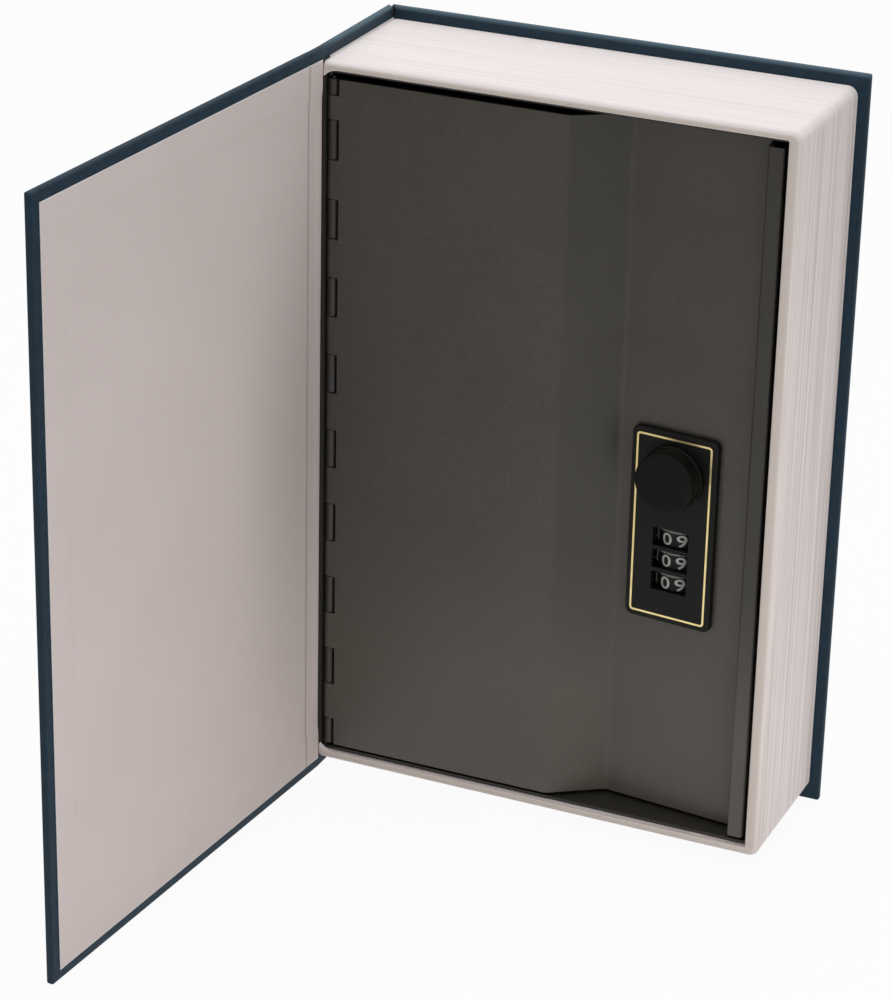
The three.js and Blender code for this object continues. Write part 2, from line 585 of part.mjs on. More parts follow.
// Faceplate with a window for each wheel and two screw bosses behind it
function faceplate() {
  const w = PLATE_HALF;
  const foot = HOUSING_FOOT - PLATE_MARGIN;
  const top = HOUSING_TOP + PLATE_MARGIN;
  const radii = Array(4).fill(PLATE_CORNER);
  // The slab is drawn thicker than the plate, and its rounded back edge is cut away.
  const plate = roundedSlab(-w, w, foot, top, PLATE_FACE, PLATE_EDGE, radii, PLATE_EDGE);
  const backCut = box(-w - PAST, w + PAST, -SEAT_GAP, PLATE_EDGE + PAST, foot - PAST, top + PAST);
  const bosses = SCREW_HEIGHTS.map((z) => {
    const post = rod(PLATE_BOSS_RADIUS, -SEAT_GAP - PLATE_EDGE, PLATE_BOSS, 0, z, SIDES.pin, true);
    const hole = rod(SCREW_RADIUS + SHAFT_CLEARANCE, 0, PLATE_BOSS + PAST, 0, z, SIDES.screw, true);
    return shaped(post, { cut: [hole] });
  });
  const through = [PLATE_FACE - PAST, PAST];
  const windows = wheelHeights.map((z) => {
    return box(-WINDOW_WIDTH / 2, WINDOW_WIDTH / 2, ...through, z - WINDOW_HEIGHT / 2, z + WINDOW_HEIGHT / 2);
  });
  const knobHole = rod(SPINDLE_RADIUS + SPINDLE_CLEARANCE, ...through, 0, KNOB_HEIGHT, SIDES.round, true);
  // The wheels sink into the back of the plate as far as their front.
  const rowEnd = wheelHalf + HOLE_CLEARANCE;
  const pocketRadius = WHEEL_RADIUS + HOLE_CLEARANCE;
  const pocket = rod(pocketRadius, LAST_WHEEL - rowEnd, FIRST_WHEEL + rowEnd, 0, WHEEL_DEPTH, SIDES.wheel);
  const body = solid(shaped(plate, { cut: [backCut, ...windows, knobHole, pocket] }));
  const joined = bosses.reduce((sum, boss) => sum.add(solid(boss)), body);
  return piece("lock_faceplate", geometryOf(joined), "black");
}

// Housing: an open-fronted shell with a solid post at each end and a shelf above the wheels
function housing() {
  const [front, back] = [PANEL_BACK, HOUSING_BACK];
  const inner = HOUSING_HALF - HOUSING_WALL;
  const foot = HOUSING_FOOT + POST_HEIGHT;
  const hollow = [-inner, inner, front - PAST, back - HOUSING_WALL];
  const shell = shaped(box(-HOUSING_HALF, HOUSING_HALF, front, back, HOUSING_FOOT, HOUSING_TOP), {
    cut: [box(...hollow, foot, shelfTop - SHELF), box(...hollow, shelfTop, HOUSING_TOP - POST_HEIGHT)],
  });
  const screwCuts = SCREW_HEIGHTS.flatMap((z) => [
    rod(PLATE_BOSS_RADIUS + HOLE_CLEARANCE, front - PAST, PLATE_BOSS + HOLE_CLEARANCE, 0, z, SIDES.pin, true),
    rod(SCREW_RADIUS + HOLE_CLEARANCE, front - PAST, back + PAST, 0, z, SIDES.screw, true),
  ]);
  const barClear = BAR_WIDTH / 2 + HOLE_CLEARANCE;
  const barEnd = BAR_X - BAR_THICKNESS - BAR_TRAVEL - HOLE_CLEARANCE;
  const barSlot = [barEnd, BAR_X + HOLE_CLEARANCE, WHEEL_DEPTH - barClear, WHEEL_DEPTH + barClear];
  const wallFront = back - HOUSING_WALL - PAST;
  const knobBore = [SPINDLE_RADIUS + SPINDLE_CLEARANCE, wallFront, back + BOSS_HEIGHT + PAST];
  const leverEnd = (LEVER_TRAVEL + LEVER_WIDTH) / 2 + HOLE_CLEARANCE;
  const leverHalf = LEVER_TALL / 2 + HOLE_CLEARANCE;
  const leverSlot = [-leverEnd, leverEnd, wallFront, back + PAST];
  const cuts = [
    ...screwCuts,
    box(...barSlot, shelfTop - SHELF - PAST, shelfTop + PAST),
    rod(SHAFT_RADIUS + SHAFT_CLEARANCE, shaftFoot - STACK_GAP, shelfTop + PAST, 0, WHEEL_DEPTH, SIDES.pin),
    rod(...knobBore, 0, KNOB_HEIGHT, SIDES.round, true),
    box(...leverSlot, LEVER_HEIGHT - leverHalf, LEVER_HEIGHT + leverHalf),
  ];
  const boss = rod(BOSS_RADIUS, back - HOUSING_WALL, back + BOSS_HEIGHT, 0, KNOB_HEIGHT, SIDES.round, true);
  const joined = solid(shell).add(solid(boss));
  const body = cuts.reduce((sum, cut) => sum.subtract(solid(cut)), joined);
  return piece("lock_housing", geometryOf(body), "black");
}

// A number wheel: a drum for the digits with a notched rim
function numberWheel(z) {
  const bottom = z - wheelHalf;
  const top = z + wheelHalf;
  const out = WHEEL_RADIUS + WHEEL_NOTCH_OUT;
  const notches = Array.from({ length: WHEEL_NOTCHES }, (_, i) => {
    const angle = ((i + 0.5) / WHEEL_NOTCHES) * TURN;
    const y = WHEEL_DEPTH + out * Math.sin(angle);
    return rod(WHEEL_NOTCH_RADIUS, top - WHEEL_RIM, top + PAST, out * Math.cos(angle), y, SIDES.notch);
  });
  const rim = rod(WHEEL_RADIUS, top - WHEEL_RIM, top, 0, WHEEL_DEPTH, SIDES.wheel);
  const notched = shaped(rim, { cut: notches });
  const drum = rod(WHEEL_BODY_RADIUS, bottom, top - WHEEL_STEP, 0, WHEEL_DEPTH, SIDES.wheel);
  const boreRadius = SLEEVE_RADIUS + SLEEVE_CLEARANCE;
  const bore = rod(boreRadius, bottom - PAST, top + PAST, 0, WHEEL_DEPTH, SIDES.round);
  return shaped(drum, { add: [notched], cut: [bore] });
}

// A code sleeve: a hub inside the wheel and, below it, the notched disc that the gate bar reads
function codeSleeve(z) {
  const gap = (WHEEL_PITCH - WHEEL_LENGTH - GATE_DISC) / 2;
  const top = z + wheelHalf;
  const discTop = z - wheelHalf - gap;
  const bottom = discTop - GATE_DISC;
  const disc = rod(GATE_DISC_RADIUS, bottom, discTop, 0, WHEEL_DEPTH, SIDES.disc);
  const hub = rod(SLEEVE_RADIUS, bottom + GATE_DISC / 2, top, 0, WHEEL_DEPTH, SIDES.round);
  const half = GATE_NOTCH_WIDTH / 2;
  const across = [WHEEL_DEPTH - half, WHEEL_DEPTH + half];
  const notchEnd = GATE_NOTCH_DEPTH - GATE_DISC_RADIUS;
  const notch = box(-GATE_DISC_RADIUS - PAST, notchEnd, ...across, bottom - PAST, discTop);
  const bore = rod(SHAFT_RADIUS + SHAFT_CLEARANCE, bottom - PAST, top + PAST, 0, WHEEL_DEPTH, SIDES.pin);
  return shaped(disc, { add: [hub], cut: [notch, bore] });
}

// Gate bar: an upright strip with a tooth for each disc and a nose that the spindle's lobe pushes
function gateBar() {
  const x0 = BAR_X - BAR_THICKNESS;
  const across = (width) => [WHEEL_DEPTH - width / 2, WHEEL_DEPTH + width / 2];
  const strip = box(x0, BAR_X, ...across(BAR_WIDTH), BAR_FOOT, KNOB_HEIGHT + BAR_END);
  const toothTip = -(GATE_DISC_RADIUS + BAR_GAP);
  const teeth = wheelHeights.map((z) => {
    const middle = z - DISC_BELOW;
    return box(x0, toothTip, ...across(TOOTH_WIDTH), middle - TOOTH / 2, middle + TOOTH / 2);
  });
  const noseTip = -(LOBE_LOW + BAR_GAP);
  const nose = box(x0, noseTip, ...across(NOSE_WIDTH), KNOB_HEIGHT - NOSE / 2, KNOB_HEIGHT + NOSE / 2);
  return piece("gate_bar", shaped(strip, { add: [...teeth, nose] }), "plated");
}

// Leaf that lies against the wall of the housing beside the gate bar
function gateBarSpring() {
  const y0 = WHEEL_DEPTH - SPRING_WIDTH / 2;
  const middle = (FIRST_WHEEL + LAST_WHEEL) / 2;
  const ends = [middle - WHEEL_PITCH, middle + WHEEL_PITCH];
  const leaf = box(LEAF_X - SPRING_STRIP, LEAF_X, y0, y0 + SPRING_WIDTH, ...ends);
  return piece("gate_bar_spring", leaf, "plated");
}

// Detent spring: a strip on the wall of the housing with a bent finger on the rim of each wheel
function detentSpring() {
  const x1 = HOUSING_HALF - HOUSING_WALL - SEAT_GAP / 2;
  const across = (width) => [WHEEL_DEPTH - width / 2, WHEEL_DEPTH + width / 2];
  const rims = wheelHeights.map((z) => z + wheelHalf - WHEEL_RIM / 2);
  const ends = [rims[WHEEL_COUNT - 1] - DETENT_END, rims[0] + DETENT_END];
  const strip = box(x1 - SPRING_STRIP, x1, ...across(SPRING_WIDTH), ...ends);
  const run = [WHEEL_RADIUS + DETENT_REACH, x1 - SPRING_STRIP / 2];
  const half = DETENT_FINGER / 2;
  const fingers = rims.map((z) => box(...run, ...across(DETENT_WIDTH), z - half, z + half));
  return piece("detent_spring", shaped(strip, { add: fingers }), "plated");
}

// Reset lever: a tab through the back of the housing, slid sideways to set a new number
function resetLever() {
  const x0 = -(LEVER_TRAVEL + LEVER_WIDTH) / 2;
  const x1 = x0 + LEVER_WIDTH;
  const z0 = LEVER_HEIGHT - LEVER_TALL / 2;
  const z1 = LEVER_HEIGHT + LEVER_TALL / 2;
  const headStart = HOUSING_BACK + SEAT_GAP;
  const headEnd = headStart + LEVER_HEAD;
  const foot = box(x0, x1, HOUSING_BACK - HOUSING_WALL - LEVER_INSIDE, headEnd, z0, z1);
  const head = box(x0 - LEVER_LIP, x1 + LEVER_LIP, headStart, headEnd, z0 - LEVER_LIP, z1 + LEVER_LIP);
  return piece("reset_lever", shaped(foot, { add: [head] }), "plated");
}

function plateScrew(name, z) {
  const headStart = HOUSING_BACK + STACK_GAP;
  const headEnd = headStart + SCREW_HEAD;
  const profile = [
    [0, SCREW_TIP],
    [SCREW_RADIUS, SCREW_TIP],
    [SCREW_RADIUS, headStart],
    [SCREW_HEAD_RADIUS, headStart],
    [SCREW_HEAD_RADIUS, headEnd - SCREW_HEAD_EDGE],
    [SCREW_HEAD_RADIUS - SCREW_HEAD_EDGE, headEnd],
    [0, headEnd],
  ];
  const half = SCREW_SLOT_WIDTH / 2;
  const depth = [headEnd - SCREW_SLOT_DEPTH, headEnd + PAST];
  const slot = box(-SCREW_HEAD_RADIUS, SCREW_HEAD_RADIUS, ...depth, z - half, z + half);
  return piece(name, shaped(turned(profile, 0, z, SIDES.pin), { cut: [slot] }), "plated");
}

// Knob: a skirt on the faceplate and a plain round grip
function knob() {
  const back = PLATE_FACE - SEAT_GAP;
  const face = back - KNOB_LENGTH;
  const stubDepth = back - SPINDLE_STUB;
  const bore = SPINDLE_STUB_RADIUS + SPINDLE_CLEARANCE / 2;
  const profile = [
    [0, face],
    [KNOB_RADIUS - KNOB_EDGE, face],
    [KNOB_RADIUS, face + KNOB_EDGE],
    [KNOB_RADIUS, back - KNOB_SKIRT],
    [KNOB_SKIRT_RADIUS, back - KNOB_SKIRT + KNOB_EDGE],
    [KNOB_SKIRT_RADIUS, back],
    [bore, back],
    [bore, stubDepth],
    [0, stubDepth],
  ];
  return piece("knob", turned(profile, 0, KNOB_HEIGHT, SIDES.knob), "black");
}

// Outline of the spindle's lobe. Its radius rises by the travel of the bar over the turn of the knob.
function lobeOutline() {
  const rise = THREE.MathUtils.degToRad(KNOB_TURN_DEG);
  const fall = TURN - rise - THREE.MathUtils.degToRad(LOBE_REST_DEG);
  const steps = 48;
  return Array.from({ length: steps }, (_, i) => {
    const along = (i / steps) * TURN;
    const lift = along <= rise ? along / rise : Math.max(0, 1 - (along - rise) / fall);
    const radius = LOBE_LOW + BAR_TRAVEL * lift;
    const angle = Math.PI - along; // measured from the nose of the bar, towards the head
    return [radius * Math.cos(angle), radius * Math.sin(angle)];
  });
}

function spindle() {
  const front = PLATE_FACE - SEAT_GAP - SPINDLE_STUB + STACK_GAP;
  const shoulder = PLATE_FACE - SEAT_GAP + STACK_GAP;
  const camSeat = CAM_Y0 - STACK_GAP;
  const profile = [
    [0, front],
    [SPINDLE_STUB_RADIUS, front],
    [SPINDLE_STUB_RADIUS, shoulder],
    [SPINDLE_RADIUS, shoulder],
    [SPINDLE_RADIUS, camSeat],
    [THREAD_RADIUS, camSeat],
    [THREAD_RADIUS, NUT_START + NUT + THREAD_END],
    [0, NUT_START + NUT + THREAD_END],
  ];
  const lobe = prism(lobeOutline(), 0, LOBE_LENGTH);
  lobe.rotateX(Math.PI / 2).translate(0, PANEL_BACK + LOBE_SETBACK + LOBE_LENGTH, KNOB_HEIGHT);
  const body = turned(profile, 0, KNOB_HEIGHT, SIDES.round);
  return piece("knob_spindle", shaped(body, { add: [lobe] }), "plated");
}

// The cam hangs down while the lock is open, and reaches for the wall of the box when thrown.
function camLength() {
  const rearX = LOCK.x + CAM_Y1 * Math.sin(PANEL_TILT);
  return (BOX.x1 - SHEET - CAM_WALL_GAP - rearX) / Math.cos(PANEL_TILT);
}

// Bore round the thread of the spindle
function threadBore(start, end) {
  const radius = THREAD_RADIUS + SPINDLE_CLEARANCE / 2;
  return rod(radius, start - PAST, end + PAST, 0, KNOB_HEIGHT, SIDES.round, true);
}

function cam() {
  const half = CAM_WIDTH / 2;
  const hub = rod(CAM_HUB_RADIUS, CAM_Y0, CAM_Y1, 0, KNOB_HEIGHT, SIDES.disc, true);
  const arm = box(-half, half, CAM_Y0, CAM_Y1, KNOB_HEIGHT - camLength(), KNOB_HEIGHT);
  return piece("latch_cam", shaped(hub, { add: [arm], cut: [threadBore(CAM_Y0, CAM_Y1)] }), "plated");
}

function camWasher() {
  const end = WASHER_START + WASHER;
  const ring = rod(WASHER_RADIUS, WASHER_START, end, 0, KNOB_HEIGHT, SIDES.round, true);
  return piece("cam_washer", shaped(ring, { cut: [threadBore(WASHER_START, end)] }), "plated");
}

function camNut() {
  const end = NUT_START + NUT;
  const hexagon = rod(NUT_RADIUS, NUT_START, end, 0, KNOB_HEIGHT, 6, true);
  return piece("cam_nut", shaped(hexagon, { cut: [threadBore(NUT_START, end)] }), "plated");
}

function lock() {
  const group = placeOnPanel(new THREE.Group());
  group.add(faceplate());
  group.add(housing());
  const shaft = rod(SHAFT_RADIUS, shaftFoot, shelfTop, 0, WHEEL_DEPTH, SIDES.pin);
  group.add(piece("wheel_shaft", shaft, "plated"));
  wheelHeights.forEach((z, i) => {
    group.add(piece(`number_wheel_${i + 1}`, numberWheel(z), "black"));
    group.add(piece(`code_sleeve_${i + 1}`, codeSleeve(z), "plated"));
  });
  group.add(gateBar());
  group.add(gateBarSpring());
  group.add(detentSpring());
  group.add(resetLever());
  group.add(plateScrew("faceplate_screw_upper", SCREW_HEIGHTS[0]));
  group.add(plateScrew("faceplate_screw_lower", SCREW_HEIGHTS[1]));
  group.add(knob());
  group.add(spindle());
  group.add(cam());
  group.add(camWasher());
  group.add(camNut());
  return group;
}

// Catch: a bracket welded to the wall of the box, whose ear stands in front of the thrown cam
function catchBracket() {
  const wall = BOX.x1 - SHEET;
  const tipX = wall - CATCH_REACH;
  // Front face of the thrown cam where it is furthest forward, at the wall.
  const camFront = LOCK.y + CAM_Y0 / Math.cos(PANEL_TILT) - (wall - LOCK.x) * Math.tan(PANEL_TILT);
  const y1 = camFront - CATCH_GAP;
  const y0 = y1 - CATCH_SHEET;
  const z = LOCK_HEIGHT + KNOB_HEIGHT;
  const half = CATCH_HEIGHT / 2;
  const ear = box(tipX, wall, y0, y1, z - half, z + half);
  const foot = box(wall - CATCH_SHEET, wall, y0 - CATCH_FOOT, y1, z - half, z + half);
  return piece("catch_bracket", shaped(ear, { add: [foot] }), "steel");
}

const safe = new THREE.Group();
safe.add(spine());
safe.add(frontCover());
safe.add(backCover());
safe.add(pageFrame());
safe.add(steelBox());
safe.add(hingePin());
safe.add(catchBracket());
safe.add(door());
safe.add(lock());

// The origin is the middle of the footprint, on the surface that the case stands on.
safe.updateMatrixWorld(true);
const bounds = new THREE.Box3().setFromObject(safe);
const middle = bounds.getCenter(new THREE.Vector3());
safe.position.set(-middle.x, -middle.y, -bounds.min.z);

const book = new THREE.Group();
book.add(safe);

export default book;
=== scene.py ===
"""A book diversion safe: a cloth-bound case round a moulded page frame that hides a steel box."""
import json
import math
import random

import bmesh
import bpy
from mathutils import Matrix, Vector, noise


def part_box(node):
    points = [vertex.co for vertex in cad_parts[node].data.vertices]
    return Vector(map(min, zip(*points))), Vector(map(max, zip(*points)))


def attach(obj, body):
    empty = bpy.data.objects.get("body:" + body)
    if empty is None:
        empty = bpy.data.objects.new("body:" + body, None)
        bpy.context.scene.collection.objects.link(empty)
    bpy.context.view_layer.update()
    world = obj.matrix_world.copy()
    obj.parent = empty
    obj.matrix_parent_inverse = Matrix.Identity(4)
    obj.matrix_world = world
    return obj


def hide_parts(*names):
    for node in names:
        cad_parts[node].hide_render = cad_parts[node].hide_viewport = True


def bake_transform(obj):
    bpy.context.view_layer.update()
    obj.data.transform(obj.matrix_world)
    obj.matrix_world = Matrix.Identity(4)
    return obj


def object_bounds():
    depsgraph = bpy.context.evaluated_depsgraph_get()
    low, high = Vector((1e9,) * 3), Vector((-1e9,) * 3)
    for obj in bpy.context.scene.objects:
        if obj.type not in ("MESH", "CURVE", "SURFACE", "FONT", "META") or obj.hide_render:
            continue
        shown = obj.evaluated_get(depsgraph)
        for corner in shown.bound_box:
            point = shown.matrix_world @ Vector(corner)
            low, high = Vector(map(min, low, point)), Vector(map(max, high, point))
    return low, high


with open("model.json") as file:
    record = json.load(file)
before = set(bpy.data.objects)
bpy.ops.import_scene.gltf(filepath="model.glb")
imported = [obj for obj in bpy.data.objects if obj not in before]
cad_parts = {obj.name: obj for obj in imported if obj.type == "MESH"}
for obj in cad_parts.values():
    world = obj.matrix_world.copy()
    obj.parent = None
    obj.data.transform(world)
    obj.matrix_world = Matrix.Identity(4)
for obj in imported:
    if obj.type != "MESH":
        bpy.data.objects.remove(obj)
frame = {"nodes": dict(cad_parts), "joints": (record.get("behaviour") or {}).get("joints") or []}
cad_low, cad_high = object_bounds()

# Camera
# The view of the photograph, solved from the corners of the case: a long lens, above and to the right.
CAMERA_PLACE = (0.36694, -0.85726, 0.54494)
CAMERA_AZIMUTH = math.radians(23.47)
CAMERA_ELEVATION = math.radians(24.09)
CAMERA_ROLL = math.radians(1.31)
CAMERA_LENS = 127.53

camera_data = bpy.data.cameras.new("camera")
camera_data.lens = CAMERA_LENS
camera_data.clip_start = 0.05
camera = bpy.data.objects.new("camera", camera_data)
bpy.context.scene.collection.objects.link(camera)
turned = Matrix.Rotation(CAMERA_AZIMUTH, 4, "Z")
tipped = Matrix.Rotation(math.pi / 2 - CAMERA_ELEVATION, 4, "X")
rolled = Matrix.Rotation(CAMERA_ROLL, 4, "Z")
camera.matrix_world = Matrix.Translation(CAMERA_PLACE) @ turned @ tipped @ rolled
bpy.context.scene.camera = camera
bpy.context.scene.view_settings.view_transform = "Standard"

# Floor
# A wide pale sweep. The camera sees it almost white, and it keeps a soft shadow of the book. In glossy
# surfaces it is bright close to the book only.
FLOOR_SIZE = 12
FLOOR_TONE = (0.86, 0.86, 0.86, 1)
FLOOR_GLOW = 0.94
MIRROR_NEAR = 0.12
MIRROR_FAR = 0.32
MIRROR_SHARE = 0.04


def new_material(name):
    material = bpy.data.materials.new(name)
    material.use_nodes = True
    nodes = material.node_tree.nodes
    nodes.clear()
    output = nodes.new("ShaderNodeOutputMaterial")
    return material, nodes, material.node_tree.links, output


def keep(bm, name):
    """Turns a finished bmesh into an object that stands at the origin."""
    mesh = bpy.data.meshes.new(name)
    bm.to_mesh(mesh)
    bm.free()
    obj = bpy.data.objects.new(name, mesh)
    bpy.context.scene.collection.objects.link(obj)
    return obj


def calculate(nodes, links, operation, first, second):
    """Joins two values, each a socket or a number, with a Math node."""
    node = nodes.new("ShaderNodeMath")
    node.operation = operation
    for socket, value in zip(node.inputs, (first, second)):
        if isinstance(value, float):
            socket.default_value = value
        else:
            links.new(value, socket)
    return node.outputs[0]


def multiply(nodes, links, first, second):
    return calculate(nodes, links, "MULTIPLY", first, second)


def rescale(nodes, links, value, low, high, new_low=0, new_high=1):
    """Maps a value from one range to another, held at its ends."""
    node = nodes.new("ShaderNodeMapRange")
    node.inputs["From Min"].default_value = low
    node.inputs["From Max"].default_value = high
    node.inputs["To Min"].default_value = new_low
    node.inputs["To Max"].default_value = new_high
    links.new(value, node.inputs["Value"])
    return node.outputs["Result"]


def mix_shaders(nodes, links, factor, first, second):
    node = nodes.new("ShaderNodeMixShader")
    for socket, value in zip(node.inputs, (factor, first, second)):
        links.new(value, socket)
    return node.outputs[0]


def seen_directly(nodes, links, mirrored=1.0):
    """1 for what the camera sees, straight, in a mirror or through glass, and 0 for what only gives light.

    The number or socket given as mirrored says how much of it a mirror shows.
    """
    path = nodes.new("ShaderNodeLightPath")
    glossy = multiply(nodes, links, path.outputs["Is Glossy Ray"], mirrored)
    straight = calculate(nodes, links, "MAXIMUM", path.outputs["Is Camera Ray"], glossy)
    return calculate(nodes, links, "MAXIMUM", straight, path.outputs["Is Transmission Ray"])


floor_material, nodes, links, output = new_material("floor_sweep")
diffuse = nodes.new("ShaderNodeBsdfDiffuse")
diffuse.inputs["Color"].default_value = FLOOR_TONE
glow = nodes.new("ShaderNodeEmission")
coordinates = nodes.new("ShaderNodeTexCoord")
distance = nodes.new("ShaderNodeVectorMath")
distance.operation = "LENGTH"
links.new(coordinates.outputs["Object"], distance.inputs[0])
mirrored = rescale(nodes, links, distance.outputs["Value"], MIRROR_NEAR, MIRROR_FAR, 1, MIRROR_SHARE)
share = multiply(nodes, links, seen_directly(nodes, links, mirrored), FLOOR_GLOW)
links.new(mix_shaders(nodes, links, share, diffuse.outputs[0], glow.outputs[0]), output.inputs["Surface"])

bm = bmesh.new()
bmesh.ops.create_grid(bm, x_segments=1, y_segments=1, size=FLOOR_SIZE / 2)
floor = keep(bm, "floor")
floor.data.materials.append(floor_material)

# Light
# A wide soft box hangs overhead, and a low strip stands in front, whose light fades towards the head of the book.
# The room round them is even and pale.
ROOM_LIGHT = 0.34
BOOK_MIDDLE = Vector((0, 0.03, 0.12))
# Each lamp's name, place, width and height, power and tint.
LAMPS = (
    ("top_light", (-0.1, 0.1, 1.5), (1.2, 1.2), 13, (0.98, 1, 1.03)),
    ("low_light", (0.34, -0.16, 0.03), (0.4, 0.08), 0.43, (1, 0.94, 0.91)),
)

world = bpy.data.worlds.new("room")
bpy.context.scene.world = world
world.use_nodes = True
nodes = world.node_tree.nodes
links = world.node_tree.links
nodes.clear()
output = nodes.new("ShaderNodeOutputWorld")
shown = []
for strength in (ROOM_LIGHT, 1):
    background = nodes.new("ShaderNodeBackground")
    background.inputs["Color"].default_value = (1, 1, 1, 1)
    background.inputs["Strength"].default_value = strength
    shown.append(background.outputs[0])
links.new(mix_shaders(nodes, links, seen_directly(nodes, links), *shown), output.inputs["Surface"])

for name, place, size, power, tint in LAMPS:
    data = bpy.data.lights.new(name, "AREA")
    data.shape = "ELLIPSE"
    data.size, data.size_y = size
    data.energy = power
    data.color = tint
    light = bpy.data.objects.new(name, data)
    light.visible_camera = False
    light.visible_glossy = False
    bpy.context.scene.collection.objects.link(light)
    facing = (BOOK_MIDDLE - Vector(place)).to_track_quat("-Z", "Y")
    light.matrix_world = Matrix.Translation(place) @ facing.to_matrix().to_4x4()

# Covering cloth
# One sheet of dark blue-green book cloth is glued round the front board, the spine board and the back board,
# and turned in 14 mm over their inner sides. It dips a little along each joint, and has a crease at the
# back corner of the spine, where the two boards part.
mm = 0.001
CLOTH = 0.3 * mm
TURN_IN = 14 * mm
INNER_PLY = 0.35 * mm
GROOVE = 0.1 * mm
GROOVE_START = 0.8 * mm
GROOVE_STEPS = 12
SPINE_START = 0.8 * mm
CORNER_ROUND = 1.0 * mm
CORNER_ARC_STEPS = 6
EDGE_ROUND = 0.65 * mm
RIM_ANGLE = math.radians(35)
RUB_CORNER = 12 * mm
RUB_EDGE = 0.3
NEAR = 0.1 * mm
INNER_SIDE = 0.8 * mm
CREASE_HALF = 0.8 * mm
CREASE_DEPTH = 1.0 * mm
THREAD = 0.42 * mm
WAVE_LENGTH = 0.314
THREAD_WOBBLE = 1.6
SLUB_SCALE = 260
FADE_START = 1.2 * mm
FADE_END = 0.5 * mm
FADE_RUN = 12 * mm
CLOTH_DARK = (0.004, 0.016, 0.028, 1)
CLOTH_LIGHT = (0.016, 0.042, 0.068, 1)
CLOTH_WORN = (0.04, 0.062, 0.075, 1)
CLOTH_FOLD_SHADE = (0.0015, 0.003, 0.0045, 1)
CLOTH_HEAD_LIT = (0.064, 0.108, 0.138, 1)

block_low, block_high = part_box("page_frame")
joints = {joint["name"]: joint for joint in frame["joints"]}
hinge = Vector((block_low.x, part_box("spine_lining")[0].y, 0))
case_height = cad_high.z
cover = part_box("back_cloth")[1].y - block_high.y
cover_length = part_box("back_cloth")[1].x - block_low.x
joint_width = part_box("back_board")[0].x - block_low.x
cover_angle = math.radians(joints["cover_hinge"]["range_deg"][0])
cover_along = Vector((math.cos(cover_angle), math.sin(cover_angle), 0))
cover_out = Vector((math.sin(cover_angle), -math.cos(cover_angle), 0))
left = block_low.x
back = block_high.y


def on_front(along, out):
    """A point of the open front cover: distance from the hinge line, and depth behind the endpaper's face."""
    return hinge + cover_along * along + cover_out * out


def ramp(value, start, end):
    """Rises smoothly from 0 at start to 1 at end."""
    t = min(1, max(0, (value - start) / (end - start)))
    return t * t * (3 - 2 * t)


def verts_and_edges(result):
    geometry = result["geom"]
    verts = [item for item in geometry if isinstance(item, bmesh.types.BMVert)]
    return verts, [item for item in geometry if isinstance(item, bmesh.types.BMEdge)]


def raise_faces(bm, faces, way):
    """Makes flat faces solid, by a vector, with all faces turned outwards."""
    risen, _ = verts_and_edges(bmesh.ops.extrude_face_region(bm, geom=faces))
    bmesh.ops.translate(bm, verts=risen, vec=way)
    bmesh.ops.recalc_face_normals(bm, faces=bm.faces)


def groove(along):
    """How far the cloth dips at this distance from the edge of the spine."""
    t = min(1, max(0, (along - GROOVE_START) / (joint_width - GROOVE_START)))
    return GROOVE * 0.5 * (1 - math.cos(2 * math.pi * t))


grooved = [GROOVE_START + (joint_width - GROOVE_START) * i / GROOVE_STEPS for i in range(GROOVE_STEPS + 1)]
round_middle = Vector((left - cover + CORNER_ROUND, back + cover - CORNER_ROUND, 0))
outline = [on_front(cover_length, cover)]
outline += [on_front(along, cover - groove(along)) for along in reversed(grooved)]
outline.append(Vector((left - cover, hinge.y + SPINE_START, 0)))
for i in range(CORNER_ARC_STEPS + 1):
    turn = math.pi - i * math.pi / (2 * CORNER_ARC_STEPS)
    outline.append(round_middle + CORNER_ROUND * Vector((math.cos(turn), math.sin(turn), 0)))
outline += [Vector((left + along, back + cover - groove(along), 0)) for along in grooved]
outline.append(Vector((left + cover_length, back + cover, 0)))
outline.append(Vector((left + cover_length, back + INNER_PLY, 0)))
outline += [Vector((left + along, back + INNER_PLY, 0)) for along in reversed(grooved)]
outline.append(Vector((left - INNER_PLY, back + INNER_PLY, 0)))
outline.append(Vector((left - INNER_PLY, hinge.y, 0)))
outline += [on_front(along, INNER_PLY) for along in grooved]
outline.append(on_front(cover_length, INNER_PLY))

bm = bmesh.new()
foot = bm.faces.new([bm.verts.new(point) for point in outline])
raise_faces(bm, [foot], (0, 0, case_height))
rims = [edge for edge in bm.edges if edge.calc_face_angle(0) > RIM_ANGLE]
bmesh.ops.bevel(
    bm, geom=rims, offset=EDGE_ROUND, offset_type="OFFSET", segments=4, profile=0.5, affect="EDGES", material=-1
)


def cut(bm, place, normal, clear=False):
    """Adds an edge wherever this plane crosses the mesh, and can clear away what lies beyond."""
    geometry = bm.verts[:] + bm.edges[:] + bm.faces[:]
    bmesh.ops.bisect_plane(bm, geom=geometry, plane_co=place, plane_no=normal, dist=1e-7, clear_outer=clear)


crease_across = Vector((1, 1, 0)).normalized()
crease_place = Vector((left, back, 0))
cut(bm, (0, 0, TURN_IN), (0, 0, 1))
cut(bm, (0, 0, case_height - TURN_IN), (0, 0, 1))
cut(bm, (left + cover_length - TURN_IN, 0, 0), (1, 0, 0))
cut(bm, on_front(cover_length - TURN_IN, 0), cover_along)
for i in range(-3, 4):
    cut(bm, crease_place + crease_across * CREASE_HALF * i / 3, crease_across)

